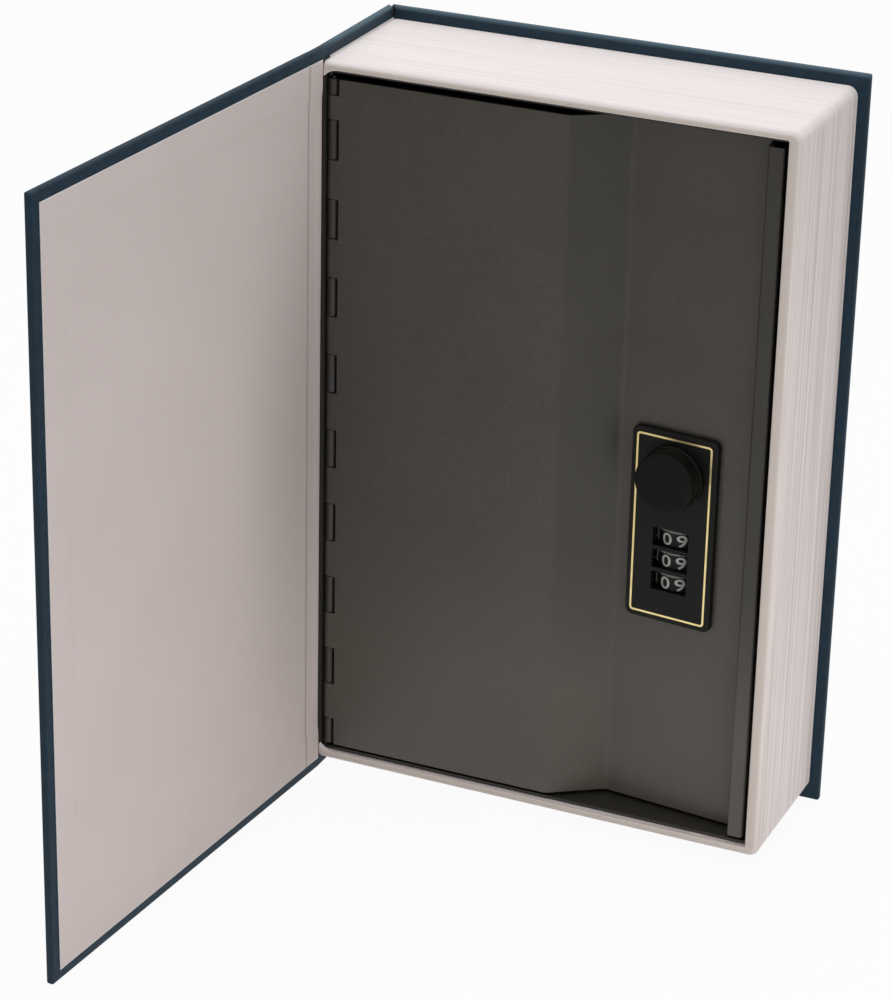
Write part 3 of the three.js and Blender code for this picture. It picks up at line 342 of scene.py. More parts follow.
wear_and_glint = bm.verts.layers.float.new("wear_and_glint")
fold_shade = bm.verts.layers.float.new("fold_shade")
for vert in bm.verts:
    near_end = min(vert.co.z, case_height - vert.co.z)
    from_back = vert.co.x - left
    from_front = (vert.co - hinge).dot(cover_along)
    reach = from_back if vert.co.y > back - mm else from_front
    to_edge = cover_length - reach
    on_round = 1e-5 < near_end < EDGE_ROUND * 0.9 or 1e-5 < to_edge < EDGE_ROUND * 0.9
    vert[wear_and_glint] = (1 if to_edge < RUB_CORNER and near_end < RUB_CORNER else RUB_EDGE) if on_round else 0
    # The crease between spine board and back board, across the head, down the corner and across the tail.
    aside = abs((vert.co - crease_place).dot(crease_across)) / CREASE_HALF
    at_corner = vert.co.x < left + NEAR and vert.co.y > back - NEAR
    if not at_corner or aside >= 0.999:
        continue
    vert[fold_shade] = 1 - aside
    dent = CREASE_DEPTH * (1 - aside)
    outwards = Vector((-1, 1, 0)).normalized()
    if near_end < EDGE_ROUND:
        vert.co.z += dent if vert.co.z < case_height / 2 else -dent
    if (vert.co - crease_place).dot(outwards) > cover:
        vert.co -= outwards * dent


def under_paper(face):
    """True for the inner side where the cloth stops and the board lies bare under the paper."""
    middle = face.calc_center_median()
    if not TURN_IN < middle.z < case_height - TURN_IN:
        return False
    if middle.y < hinge.y:
        depth = (middle - hinge).dot(cover_out)
        return depth < INNER_SIDE and (middle - hinge).dot(cover_along) < cover_length - TURN_IN
    if middle.x < left + NEAR and middle.y < back:
        return middle.x > left - INNER_SIDE
    return middle.y < back + INNER_SIDE and middle.x < left + cover_length - TURN_IN


bmesh.ops.delete(bm, geom=[face for face in bm.faces if under_paper(face)], context="FACES")
cloth = keep(bm, "covering_cloth")


def thicken(obj, thickness):
    """Gives a skin its thickness, behind the face that was drawn."""
    solid = obj.modifiers.new("thickness", "SOLIDIFY")
    solid.thickness = thickness
    solid.offset = -1


def shaped_mesh(obj):
    """The mesh of an object or a text as it stands, with its modifiers."""
    bpy.context.view_layer.update()
    return bpy.data.meshes.new_from_object(obj.evaluated_get(bpy.context.evaluated_depsgraph_get()))


def apply_modifiers(obj):
    mesh = shaped_mesh(obj)
    obj.modifiers.clear()
    obj.data = mesh
    mesh.name = obj.name
    return mesh


def make_final(obj, smooth_angle=40):
    """Puts the modifiers into the mesh and smooths all but the sharp edges."""
    mesh = apply_modifiers(obj)
    mesh.polygons.foreach_set("use_smooth", [True] * len(mesh.polygons))
    mesh.set_sharp_from_angle(angle=math.radians(smooth_angle))


thicken(cloth, CLOTH)
make_final(cloth)


def effect(name, numbers, outputs):
    """Starts a node group that takes a vector and named numbers, and puts out named values."""
    group = bpy.data.node_groups.new(name, "ShaderNodeTree")
    group.interface.new_socket("Vector", in_out="INPUT", socket_type="NodeSocketVector")
    for label, value in numbers.items():
        socket = group.interface.new_socket(label, in_out="INPUT", socket_type="NodeSocketFloat")
        socket.default_value = value
    for label in outputs:
        group.interface.new_socket(label, in_out="OUTPUT", socket_type="NodeSocketFloat")
    start = group.nodes.new("NodeGroupInput")
    end = group.nodes.new("NodeGroupOutput")
    return group, group.nodes, group.links, start, end


def place_group(nodes, links, group, vector, **values):
    """Puts a node group into a material with its own values."""
    node = nodes.new("ShaderNodeGroup")
    node.node_tree = group
    links.new(vector, node.inputs["Vector"])
    for label, value in values.items():
        node.inputs[label].default_value = value
    return node


def surface(name, **values):
    """Starts a material with a Principled shader and the object's own coordinates."""
    material, nodes, links, output = new_material(name)
    shader = nodes.new("ShaderNodeBsdfPrincipled")
    for label, value in values.items():
        shader.inputs[label.replace("_", " ")].default_value = value
    links.new(shader.outputs["BSDF"], output.inputs["Surface"])
    coordinates = nodes.new("ShaderNodeTexCoord")
    return material, nodes, links, shader, coordinates.outputs["Object"]


def mix_colors(nodes, links, factor, first, second):
    """Mixes two colours, each a socket or a value, and returns the result's socket."""
    node = nodes.new("ShaderNodeMix")
    node.data_type = "RGBA"
    links.new(factor, node.inputs["Factor"])
    for socket, value in ((node.inputs[6], first), (node.inputs[7], second)):
        if isinstance(value, tuple):
            socket.default_value = value
        else:
            links.new(value, socket)
    return node.outputs[2]


def separate(nodes, links, vector):
    """The X, Y and Z of a vector."""
    node = nodes.new("ShaderNodeSeparateXYZ")
    links.new(vector, node.inputs[0])
    return node.outputs


def painted(nodes, name):
    """How strongly a mark that is kept in the mesh shows."""
    node = nodes.new("ShaderNodeAttribute")
    node.attribute_name = name
    return node.outputs["Fac"]


def add_bump(nodes, links, shader, height, distance, strength):
    bump = nodes.new("ShaderNodeBump")
    bump.inputs["Distance"].default_value = distance
    bump.inputs["Strength"].default_value = strength
    links.new(height, bump.inputs["Height"])
    links.new(bump.outputs[0], shader.inputs["Normal"])


# Grain: fine noise for a surface's texture, and broad noise for how its tone and gloss change.
grain, nodes, links, start, end = effect("grain", {"Fine": 900, "Broad": 30}, ("Height", "Mask"))
for size, detail, outlet in (("Fine", 3, "Height"), ("Broad", 6, "Mask")):
    texture = nodes.new("ShaderNodeTexNoise")
    texture.inputs["Detail"].default_value = detail
    links.new(start.outputs["Vector"], texture.inputs["Vector"])
    links.new(start.outputs[size], texture.inputs["Scale"])
    links.new(texture.outputs["Fac"], end.inputs[outlet])

# Weave: two sets of threads that cross, with uneven thickness.
weave, nodes, links, start, end = effect("weave", {"Scale": 700}, ("Height", "Mask"))
across = nodes.new("ShaderNodeVectorMath")
across.operation = "DOT_PRODUCT"
across.inputs[1].default_value = (1, 1, 0)
links.new(start.outputs["Vector"], across.inputs[0])
flat = nodes.new("ShaderNodeCombineXYZ")
links.new(across.outputs["Value"], flat.inputs["X"])
links.new(separate(nodes, links, start.outputs["Vector"])["Z"], flat.inputs["Y"])
threads = []
for direction in ("X", "Y"):
    wave = nodes.new("ShaderNodeTexWave")
    wave.bands_direction = direction
    wave.inputs["Distortion"].default_value = THREAD_WOBBLE
    wave.inputs["Detail"].default_value = 1
    links.new(flat.outputs[0], wave.inputs["Vector"])
    links.new(start.outputs["Scale"], wave.inputs["Scale"])
    threads.append(wave.outputs["Fac"])
slub = nodes.new("ShaderNodeTexNoise")
slub.inputs["Scale"].default_value = SLUB_SCALE
slub.inputs["Detail"].default_value = 5
links.new(start.outputs["Vector"], slub.inputs["Vector"])
crossing = multiply(nodes, links, threads[0], threads[1])
links.new(multiply(nodes, links, crossing, slub.outputs["Fac"]), end.inputs["Height"])
links.new(slub.outputs["Fac"], end.inputs["Mask"])

cloth_material, nodes, links, shader, own_place = surface(
    "book_cloth", Roughness=0.65, Specular_IOR_Level=0.26, Sheen_Weight=0.03, Sheen_Roughness=0.5
)
woven = place_group(nodes, links, weave, own_place, Scale=WAVE_LENGTH / THREAD)
patches = place_group(nodes, links, grain, own_place, Fine=900, Broad=150)
patchy = rescale(nodes, links, patches.outputs["Mask"], 0.45, 0.65, 0, 0.5)
worn = multiply(nodes, links, painted(nodes, "wear_and_glint"), patchy)
tone = mix_colors(nodes, links, woven.outputs["Mask"], CLOTH_DARK, CLOTH_LIGHT)
tone = mix_colors(nodes, links, worn, tone, CLOTH_WORN)
# Painted light: the head edge of spine and back, which faces up, is painted lighter.
split = separate(nodes, links, own_place)
at_head = rescale(nodes, links, split["Z"], case_height - FADE_START, case_height - FADE_END)
past_hinge = rescale(nodes, links, split["Y"], hinge.y, hinge.y + FADE_RUN)
tone = mix_colors(nodes, links, multiply(nodes, links, at_head, past_hinge), tone, CLOTH_HEAD_LIT)
# Painted shade: the crease at the back corner of the spine is painted near black.
in_fold_shade = rescale(nodes, links, painted(nodes, "fold_shade"), 0, 0.5)
links.new(mix_colors(nodes, links, in_fold_shade, tone, CLOTH_FOLD_SHADE), shader.inputs["Base Color"])
add_bump(nodes, links, shader, woven.outputs["Height"], 0.08 * mm, 0.5)

cloth.data.materials.append(cloth_material)
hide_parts("spine_cloth", "front_joint_cloth", "front_cloth", "back_cloth")
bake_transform(cloth)

# Boards
# Grey board, 1.5 mm thick, stiffens each cover and the spine. The boards are glued to the cloth before it is
# turned in over their edges.
BOARD_TONE = (0.27, 0.25, 0.22, 1)
BOARD_SPECK = (0.19, 0.17, 0.15, 1)
NOISE_RANGE = (0.3, 0.7)


def dress(name, material):
    """Gives a part from the model its finish."""
    node = frame["nodes"][name]
    if not node.material_slots:
        node.data.materials.append(material)
    for slot in node.material_slots:
        slot.material = material


def grained(name, tones, sizes, spread=(0, 1), gloss=None, relief=None, **values):
    """A surface whose tone wanders between two colours, with its gloss, over a fine relief."""
    material, nodes, links, shader, own_place = surface(name, **values)
    texture = place_group(nodes, links, grain, own_place, Fine=sizes[0], Broad=sizes[1])
    share = rescale(nodes, links, texture.outputs["Mask"], *spread)
    links.new(mix_colors(nodes, links, share, *tones), shader.inputs["Base Color"])
    if gloss:
        rough = rescale(nodes, links, texture.outputs["Mask"], *NOISE_RANGE, *gloss)
        links.new(rough, shader.inputs["Roughness"])
    if relief:
        add_bump(nodes, links, shader, texture.outputs["Height"], *relief)
    return material


board_material = grained(
    "grey_board", (BOARD_TONE, BOARD_SPECK), (900, 120), relief=(0.1 * mm, 0.5), Roughness=0.95
)
for name in ("spine_board", "front_board", "back_board"):
    dress(name, board_material)

# Endpapers
# Smooth off-white paper is pasted inside each cover. It stops 3.5 mm short of the edge, rides up a little over
# the turned-in cloth, sinks along the joint, and runs on to the edge of the block.
PAPER = 0.2 * mm
PAPER_MARGIN = 3.5 * mm
PAPER_IN = 0.3 * mm
PAPER_START = 0.25 * mm
PAPER_RIM = 0.5 * mm
PAPER_EDGE_HIGHLIGHT = (0.86, 0.85, 0.86, 1)
STEP_WIDTH = 3.6 * mm
TROUGH = 0.25 * mm
TROUGH_START = 1.5 * mm
TROUGH_FULL = 4 * mm
TROUGH_FADE = 12 * mm
JOINT_CREASE = 0.28 * mm
JOINT_CREASE_HALF = 0.5 * mm
JOINT_CREASE_SHADE = (0.34, 0.27, 0.25, 1)
JOINT_SHADE_TONE = (0.58, 0.51, 0.49, 1)
JOINT_SHADE_START = 8 * mm
JOINT_SHADE_END = 60 * mm
PAPER_WAVE = 0.05 * mm
CLOSE_CUTS = 0.5
WIDE_CUTS = 2.2
WIDE_START = 11.5
STEP_CUTS = 0.6
PAPER_TONE = (0.785, 0.70, 0.675, 1)
PAPER_SHADE = (0.755, 0.67, 0.645, 1)
LINING_TONE = (0.86, 0.83, 0.82, 1)
LINING_SHADE = (0.82, 0.79, 0.77, 1)
DARK_TONE = (0.036, 0.033, 0.028, 1)
DARK_STRIP = 4.5 * mm


def trough(along, up):
    """How far the paper sinks over the bare joint, between the turned-in cloth of head and tail."""
    across = ramp(along, TROUGH_START, TROUGH_FULL) * (1 - ramp(along, joint_width - TROUGH_START, joint_width))
    return TROUGH * across * ramp(min(up, case_height - up), TURN_IN, TURN_IN + TROUGH_FADE)


def creased(along):
    """1 in the middle of the crease where the board starts, 0 beside it."""
    return max(0, 1 - abs(along - joint_width + JOINT_CREASE_HALF) / JOINT_CREASE_HALF)


def paper_sink(along, up):
    """How far the paper lies behind its place over the turned-in cloth."""
    to_edge = min(cover_length - along, up, case_height - up)
    sink = CLOTH * ramp(to_edge, TURN_IN - STEP_WIDTH / 2, TURN_IN + STEP_WIDTH / 2)
    wave = 0.5 + noise.noise(Vector((along * 28, up * 19, 3)))
    return sink + trough(along, up) + JOINT_CREASE * creased(along) + PAPER_WAVE * max(0, wave)


bm = bmesh.new()
bmesh.ops.create_grid(bm, x_segments=1, y_segments=80, size=0.5)
paper_size = Vector((cover_length - PAPER_MARGIN - PAPER_START, case_height - 2 * PAPER_MARGIN, 1))
bmesh.ops.scale(bm, verts=bm.verts, vec=paper_size)
paper_middle = Vector((PAPER_START + paper_size.x / 2, case_height / 2, 0))
bmesh.ops.translate(bm, verts=bm.verts, vec=paper_middle)
# The cuts are close where the paper bends, and wide over the board.
bends = [CLOSE_CUTS * i * mm for i in range(1, 22)] + [(WIDE_START + WIDE_CUTS * i) * mm for i in range(58)]
bends += [cover_length - TURN_IN + STEP_CUTS * i * mm for i in range(-3, 4)]
for along in bends:
    cut(bm, (along, 0, 0), (1, 0, 0))
for edge in (TURN_IN, case_height - TURN_IN):
    for i in range(-3, 4):
        cut(bm, (0, edge + STEP_CUTS * i * mm, 0), (0, 1, 0))
cut(bm, (cover_length - PAPER_MARGIN - PAPER_RIM, 0, 0), (1, 0, 0))
for up in (PAPER_MARGIN + PAPER_RIM, case_height - PAPER_MARGIN - PAPER_RIM):
    cut(bm, (0, up, 0), (0, 1, 0))
# Marks for painted light: a highlight along the cut edge, shade in the crease, and shade along the joint at
# mid-height.
rim = bm.verts.layers.float.new("rim")
crease = bm.verts.layers.float.new("crease")
joint_shade = bm.verts.layers.float.new("joint_shade")
for vert in bm.verts:
    along, up = vert.co.x, vert.co.y
    to_rim = min(cover_length - PAPER_MARGIN - along, up - PAPER_MARGIN, case_height - PAPER_MARGIN - up)
    vert[rim] = 1 if to_rim < PAPER_RIM / 2 else 0
    vert[crease] = creased(along)
    vert[joint_shade] = (1 - ramp(along, JOINT_SHADE_START, JOINT_SHADE_END)) * math.sin(math.pi * up / case_height) ** 2
    vert.co = on_front(along, paper_sink(along, up)) + Vector((0, 0, up))
bmesh.ops.recalc_face_normals(bm, faces=bm.faces)
if bm.faces[:][0].normal.dot(cover_out) > 0:
    bmesh.ops.reverse_faces(bm, faces=bm.faces)
front_paper = keep(bm, "front_endpaper_sheet")


def reopen(material):
    """The nodes of a made material, the socket of its colour, and what is linked there."""
    nodes, links = material.node_tree.nodes, material.node_tree.links
    base = next(node for node in nodes if node.type == "BSDF_PRINCIPLED").inputs["Base Color"]
    return nodes, links, base, base.links[0].from_socket


def make_paper(name, tone, shade):
    """Smooth paper, with painted shade in the joint's crease and along the joint at mid-height, and a painted
    highlight along its cut edge.
    """
    material = grained(
        name, (tone, shade), (1500, 26), spread=NOISE_RANGE, relief=(0.05 * mm, 0.3),
        Roughness=0.65, Specular_IOR_Level=0.3,
    )
    nodes, links, base, tone = reopen(material)
    for mark, marked in (("joint_shade", JOINT_SHADE_TONE), ("crease", JOINT_CREASE_SHADE), ("rim", PAPER_EDGE_HIGHLIGHT)):
        tone = mix_colors(nodes, links, painted(nodes, mark), tone, marked)
    links.new(tone, base)
    return material


paper_material = make_paper("endpaper", PAPER_TONE, PAPER_SHADE)
lining_material = make_paper("lining_paper", LINING_TONE, LINING_SHADE)
front_paper.data.materials.append(paper_material)
thicken(front_paper, PAPER)
make_final(front_paper)
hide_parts("front_endpaper")
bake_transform(front_paper)

# The spine's lining is painted dark along the hinge, in a tone close to the steel's.
spine_material = make_paper("darkened_lining", LINING_TONE, LINING_SHADE)
nodes, links, base, tone = reopen(spine_material)
split = separate(nodes, links, nodes.new("ShaderNodeTexCoord").outputs["Object"])
darkened_to = block_low.y + DARK_STRIP
past_dark = rescale(nodes, links, split["Y"], darkened_to, darkened_to + NEAR)
links.new(mix_colors(nodes, links, past_dark, DARK_TONE, tone), base)
dress("spine_lining", spine_material)

# Page frame
# A white plastic frame is moulded to look like cut pages: fine uneven lines run round its head, fore-edge and
# tail. It is open at the spine, its front lip is smooth and round, and the steel box slides in from the back.
RIM = 2.7 * mm
FORE_RIM = 3.6 * mm
FORE_LIP_RIM = 4.2 * mm
FORE_CORNER = 3.2 * mm
SPINE_CORNER = 3.3 * mm
CORNER_STEPS = 8
LIP = 1.8 * mm
LIP_STEPS = 6
LIP_FLAT = 0.05 * mm
INNER_LIP = 0.6 * mm
OPENING_CORNER = 0.5 * mm
FILLET_RADIUS = 6 * mm
FILLET_OUT = 1.5 * mm
FILLET_DEPTH = 1.4 * mm
PAST_SPINE = 2 * mm
LONG_SIDE = 60 * mm
LONG_CUTS = 36
PAGES_START = 2.3 * mm
PAGE_STEP = 0.9 * mm
PAGE_DEPTH = 0.16 * mm
LINE_STRETCH = 9.0
HEAD_LINES = 0.35
HEAD_FADE = 4 * mm
LIP_TONE_START = 0.02 * mm
LIP_TONE_END = 0.25 * mm
PAGE_TONE = (0.875, 0.805, 0.785, 1)
PAGE_GAP = (0.67, 0.59, 0.56, 1)
LIP_SHADE_TONE = (0.71, 0.635, 0.575, 1)

pages_random = random.Random(11)


def rounded_loop(bm, low, high, radii, steps):
    """A rectangle with round corners, drawn in X and Z at y = low.y. The radii run from the low left corner on."""
    before = set(bm.edges)
    corners = ((low.x, low.z, 1, 1), (high.x, low.z, -1, 1), (high.x, high.z, -1, -1), (low.x, high.z, 1, -1))
    ends = []
    for (x, z, right, up), radius in zip(corners, radii):
        middle = Vector((x + right * radius, low.y, z + up * radius))
        first = bm.verts.new((x, low.y, middle.z) if right == up else (middle.x, low.y, z))
        spun = bmesh.ops.spin(
            bm, geom=[first], cent=middle, axis=(0, -1, 0), angle=math.pi / 2, steps=steps, use_duplicate=False
        )
        last = [item for item in spun["geom_last"] if isinstance(item, bmesh.types.BMVert)][0]
        ends.append((first, last))
    for i, (first, last) in enumerate(ends):
        bm.edges.new((last, ends[(i + 1) % 4][0]))
    return [edge for edge in bm.edges if edge not in before]


# The back endpaper ends inside the outline of the block.
bm = bmesh.new()
paper_low = Vector((block_low.x, back, block_low.z + PAPER_IN))
paper_high = Vector((block_high.x - PAPER_IN, back, block_high.z - PAPER_IN))
paper_ring = rounded_loop(bm, paper_low, paper_high, (NEAR, FORE_CORNER, FORE_CORNER, NEAR), CORNER_STEPS)
sheet = bmesh.ops.contextual_create(bm, geom=paper_ring)["faces"]
raise_faces(bm, sheet, (0, PAPER, 0))
back_paper = keep(bm, "back_endpaper_sheet")
back_paper.data.materials.append(lining_material)
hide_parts("back_endpaper")
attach(back_paper, "case")

# The frame is drawn as a full ring that reaches past the spine side, and is cut off there at the end.
bm = bmesh.new()
ring_low = block_low - Vector((PAST_SPINE, 0, 0))
radii = (SPINE_CORNER, FORE_CORNER, FORE_CORNER, SPINE_CORNER)
base_ring = rounded_loop(bm, ring_low, block_high, radii, CORNER_STEPS)
long_sides = [edge for edge in base_ring if edge.calc_length() > LONG_SIDE]
bmesh.ops.subdivide_edges(bm, edges=long_sides, cuts=LONG_CUTS)
base_ring = bm.edges[:]
rings = [(bm.verts[:], LIP, 0)]

# Forwards, round the lip.
ring = base_ring
for i in range(1, LIP_STEPS + 1):
    turn = i / LIP_STEPS * math.pi / 2
    verts, ring = verts_and_edges(bmesh.ops.extrude_edge_only(bm, edges=ring))
    rings.append((verts, LIP * (1 - math.sin(turn)), LIP * (1 - math.cos(turn))))
verts, lip_ring = verts_and_edges(bmesh.ops.extrude_edge_only(bm, edges=ring))
rings.append((verts, 0, LIP + LIP_FLAT))

# Backwards, a little in or out of line at each page.
block_depth = block_high.y - block_low.y
ring = base_ring
depth = LIP
while depth < block_depth:
    depth += PAGE_STEP * pages_random.uniform(0.5, 1.5) if depth > LIP else PAGES_START - LIP
    if depth > block_depth - PAGE_STEP / 2:
        depth = block_depth
    sunk = 0 if depth in (PAGES_START, block_depth) else PAGE_DEPTH * pages_random.random()
    verts, ring = verts_and_edges(bmesh.ops.extrude_edge_only(bm, edges=ring))
    rings.append((verts, depth, sunk))
back_ring = ring

for verts, depth, sunk in rings:
    for vert in verts:
        radius = FORE_CORNER if vert.co.x > 0 else SPINE_CORNER
        middle = Vector((
            min(max(vert.co.x, ring_low.x + radius), block_high.x - radius),
            vert.co.y,
            min(max(vert.co.z, ring_low.z + radius), block_high.z - radius),
        ))
        outwards = (vert.co - middle).normalized()
        drift = 0.6 + 0.8 * noise.noise(Vector((vert.co.x * 22, depth * 900, vert.co.z * 22)))
        uneven = drift if PAGES_START < depth < block_depth else 1
        vert.co -= outwards * sunk * uneven
        vert.co.y = block_low.y + depth

# The opening has fillets at the spine as deep as its lip, and plain corners where the steel box lies.
open_low = block_low + Vector((-FILLET_OUT, 0, RIM))
opening_loops = []
openings = ((0, FILLET_RADIUS, FORE_LIP_RIM), (FILLET_DEPTH, OPENING_CORNER, FORE_RIM))
for depth, spine_radius, fore_rim in openings:
    before = set(bm.edges)
    radii = (spine_radius, OPENING_CORNER, OPENING_CORNER, spine_radius)
    place = Vector((0, depth, 0))
    open_high = block_high - Vector((fore_rim, 0, RIM))
    sides = rounded_loop(bm, open_low + place, open_high + place, radii, CORNER_STEPS)
    long_sides = [edge for edge in sides if edge.calc_length() > LONG_SIDE]
    bmesh.ops.subdivide_edges(bm, edges=long_sides, cuts=LONG_CUTS)
    opening_loops.append([edge for edge in bm.edges if edge not in before])
front_loop, box_loop = opening_loops
reached = []
for loop, depth in ((front_loop, FILLET_DEPTH), (box_loop, block_depth - FILLET_DEPTH)):
    verts, edges = verts_and_edges(bmesh.ops.extrude_edge_only(bm, edges=loop))
    bmesh.ops.translate(bm, verts=verts, vec=(0, depth, 0))
    reached.append(edges)
for first, second in ((lip_ring, front_loop), (reached[0], box_loop), (back_ring, reached[1])):
    bmesh.ops.bridge_loops(bm, edges=first + second)
bmesh.ops.bevel(bm, geom=front_loop, offset=INNER_LIP, segments=4, profile=0.5, affect="EDGES", material=-1)
cut(bm, block_low, (-1, 0, 0), clear=True)
bmesh.ops.holes_fill(bm, edges=[edge for edge in bm.edges if edge.is_boundary], sides=0)
bmesh.ops.recalc_face_normals(bm, faces=bm.faces)
pages = keep(bm, "page_block")
make_final(pages, 50)

# Page lines: long thin streaks that run round the block.
page_lines, nodes, links, start, end = effect("page_lines", {"Lines": 800}, ("Height", "Mask", "Pages"))
split = separate(nodes, links, start.outputs["Vector"])
drawn = nodes.new("ShaderNodeCombineXYZ")
for axis, scale in (("X", LINE_STRETCH), ("Y", start.outputs["Lines"]), ("Z", LINE_STRETCH)):
    links.new(multiply(nodes, links, split[axis], scale), drawn.inputs[axis])
streaks = nodes.new("ShaderNodeTexNoise")
streaks.inputs["Scale"].default_value = 1
streaks.inputs["Detail"].default_value = 3
links.new(drawn.outputs[0], streaks.inputs["Vector"])
past_lip = rescale(nodes, links, split["Y"], block_low.y + LIP_TONE_START, block_low.y + LIP_TONE_END)
# The lines of the head are fainter.
below_head = rescale(nodes, links, split["Z"], block_high.z - HEAD_FADE, block_high.z - mm, 1, HEAD_LINES)
strength = multiply(nodes, links, past_lip, below_head)
links.new(multiply(nodes, links, streaks.outputs["Fac"], strength), end.inputs["Height"])
thin = rescale(nodes, links, streaks.outputs["Fac"], 0.42, 0.66)
links.new(multiply(nodes, links, thin, strength), end.inputs["Mask"])
links.new(past_lip, end.inputs["Pages"])

page_material, nodes, links, shader, own_place = surface("page_plastic", Roughness=0.5)
lined = place_group(nodes, links, page_lines, own_place, Lines=850)
page_tone = mix_colors(nodes, links, lined.outputs["Mask"], PAGE_TONE, PAGE_GAP)
# Painted shade: the smooth front lip, which faces forward, is painted a darker beige than the pages.
links.new(mix_colors(nodes, links, lined.outputs["Pages"], LIP_SHADE_TONE, page_tone), shader.inputs["Base Color"])
add_bump(nodes, links, shader, lined.outputs["Height"], 0.2 * mm, 0.5)
pages.data.materials.append(page_material)
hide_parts("page_frame")
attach(pages, "case")

# Steel box
# A welded box of 0.9 mm sheet steel with a dark warm grey powder coat. The front edge of its wall at the spine is
# cut into tongues that are rolled round the hinge pin.
SHEET_EDGE = 0.12 * mm
ROUNDED_FROM = math.radians(40)
SHADED_BOX_TONE = (0.036, 0.033, 0.029, 1)
SHADED_BOX_DARK = (0.028, 0.026, 0.023, 1)
COAT_DARK = (0.012, 0.011, 0.009, 1)
COAT_SPECKLE = 0.25
COAT_GLOSS = (0.33, 0.45)


def finished_copy(node, name, body, edge, material):
    """Takes a part's own form, joins its triangles to whole faces, rounds its edges and gives it its finish."""
    bm = bmesh.new()
    bm.from_mesh(frame["nodes"][node].data)
    bmesh.ops.remove_doubles(bm, verts=bm.verts, dist=1e-6)
    bmesh.ops.dissolve_limit(bm, angle_limit=math.radians(0.5), verts=bm.verts, edges=bm.edges)
    for face in bm.faces:
        face.smooth = True
    obj = keep(bm, name)
    bevel = obj.modifiers.new("edges", "BEVEL")
    bevel.width = edge
    bevel.segments = 2
    bevel.limit_method = "ANGLE"
    bevel.angle_limit = ROUNDED_FROM
    flats = obj.modifiers.new("flats", "WEIGHTED_NORMAL")
    flats.weight = 100
    apply_modifiers(obj)
    obj.data.materials.append(material)
    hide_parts(node)
    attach(obj, body)


def make_coat(name, tone, shade):
    """Powder coat: a cloudy tone with fine dark specks, and a little peel in its gloss."""
    material, nodes, links, shader, own_place = surface(name, Roughness=0.38, Specular_IOR_Level=0.5)
    peel = place_group(nodes, links, grain, own_place, Fine=1100, Broad=24)
    clouded = rescale(nodes, links, peel.outputs["Mask"], *NOISE_RANGE)
    specks = rescale(nodes, links, peel.outputs["Height"], *NOISE_RANGE, 0, COAT_SPECKLE)
    plain = mix_colors(nodes, links, clouded, tone, shade)
    links.new(mix_colors(nodes, links, specks, plain, COAT_DARK), shader.inputs["Base Color"])
    links.new(rescale(nodes, links, peel.outputs["Mask"], *NOISE_RANGE, *COAT_GLOSS), shader.inputs["Roughness"])
    add_bump(nodes, links, shader, peel.outputs["Height"], 0.06 * mm, 0.6)
    return material


# Painted shade: the box has the door's coat, painted darker for the shade inside it.
shaded_box_material = make_coat("box_coat_shaded", SHADED_BOX_TONE, SHADED_BOX_DARK)
finished_copy("steel_box", "box_shell", "case", SHEET_EDGE, shaded_box_material)

# Hinge pin
# One plated wire, dulled dark, runs through all the knuckles of the box and of the door. It is held by the first
# and the last of them.
WIRE_TONE = (0.075, 0.072, 0.068, 1)
WIRE_SHADE = (0.045, 0.043, 0.040, 1)
WIRE_EDGE = 0.1 * mm


def make_plating(name, tone, shade, gloss):
    return grained(
        name, (tone, shade), (1800, 180), gloss=gloss, relief=(0.02 * mm, 0.4), Roughness=gloss[0], Metallic=1
    )


wire_material = make_plating("dull_wire", WIRE_TONE, WIRE_SHADE, (0.45, 0.6))
finished_copy("hinge_pin", "hinge_wire", "case", WIRE_EDGE, wire_material)

# Door
# One bent sheet of the same coated steel: flat by the hinge, a ramp down to the recessed panel that carries the
# lock, and a raised lip along its free edge.
RAMP_RUN = 16 * mm
PLATE_TO_RAMP = 4.9 * mm
DOOR_LIP = 5 * mm
LIP_BEND = 0.3 * mm
RAMP_SHADE = 0.5
DOOR_LIP_SHADE = 0.62
STEEL_TONE = (0.0735, 0.0655, 0.052, 1)
STEEL_SHADE = (0.062, 0.055, 0.0445, 1)
STEEL_FOOT_LIT = (0.096, 0.085, 0.068, 1)
FOOT_LIGHT_SHARE = 0.6
PAINTED_LIGHT_LOW = 45 * mm
PAINTED_LIGHT_HIGH = 95 * mm

# Painted shade: the coat is darker on the ramp and on the lip, but not near the foot. Painted light: near the foot
# the whole door is a little lighter.
coat_material = make_coat("door_coat", STEEL_TONE, STEEL_SHADE)
nodes, links, base, tone = reopen(coat_material)
split = separate(nodes, links, nodes.new("ShaderNodeTexCoord").outputs["Object"])
ramp_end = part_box("lock_faceplate")[0].x - PLATE_TO_RAMP
lip_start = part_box("door")[1].x - DOOR_LIP
past_bend = rescale(nodes, links, split["X"], ramp_end - RAMP_RUN - mm, ramp_end - RAMP_RUN + mm, 0, RAMP_SHADE)
before_panel = rescale(nodes, links, split["X"], ramp_end - mm, ramp_end + mm, 1, 0)
on_ramp = multiply(nodes, links, past_bend, before_panel)
on_lip = rescale(nodes, links, split["X"], lip_start - LIP_BEND, lip_start, 0, DOOR_LIP_SHADE)
upper = rescale(nodes, links, split["Z"], PAINTED_LIGHT_LOW, PAINTED_LIGHT_HIGH)
door_shade = multiply(nodes, links, calculate(nodes, links, "MAXIMUM", on_ramp, on_lip), upper)
lower = rescale(nodes, links, split["Z"], PAINTED_LIGHT_LOW, PAINTED_LIGHT_HIGH, FOOT_LIGHT_SHARE, 0)
foot_lit_tone = mix_colors(nodes, links, lower, tone, STEEL_FOOT_LIT)
links.new(mix_colors(nodes, links, door_shade, foot_lit_tone, COAT_DARK), base)
finished_copy("door", "door_sheet", "door", SHEET_EDGE, coat_material)

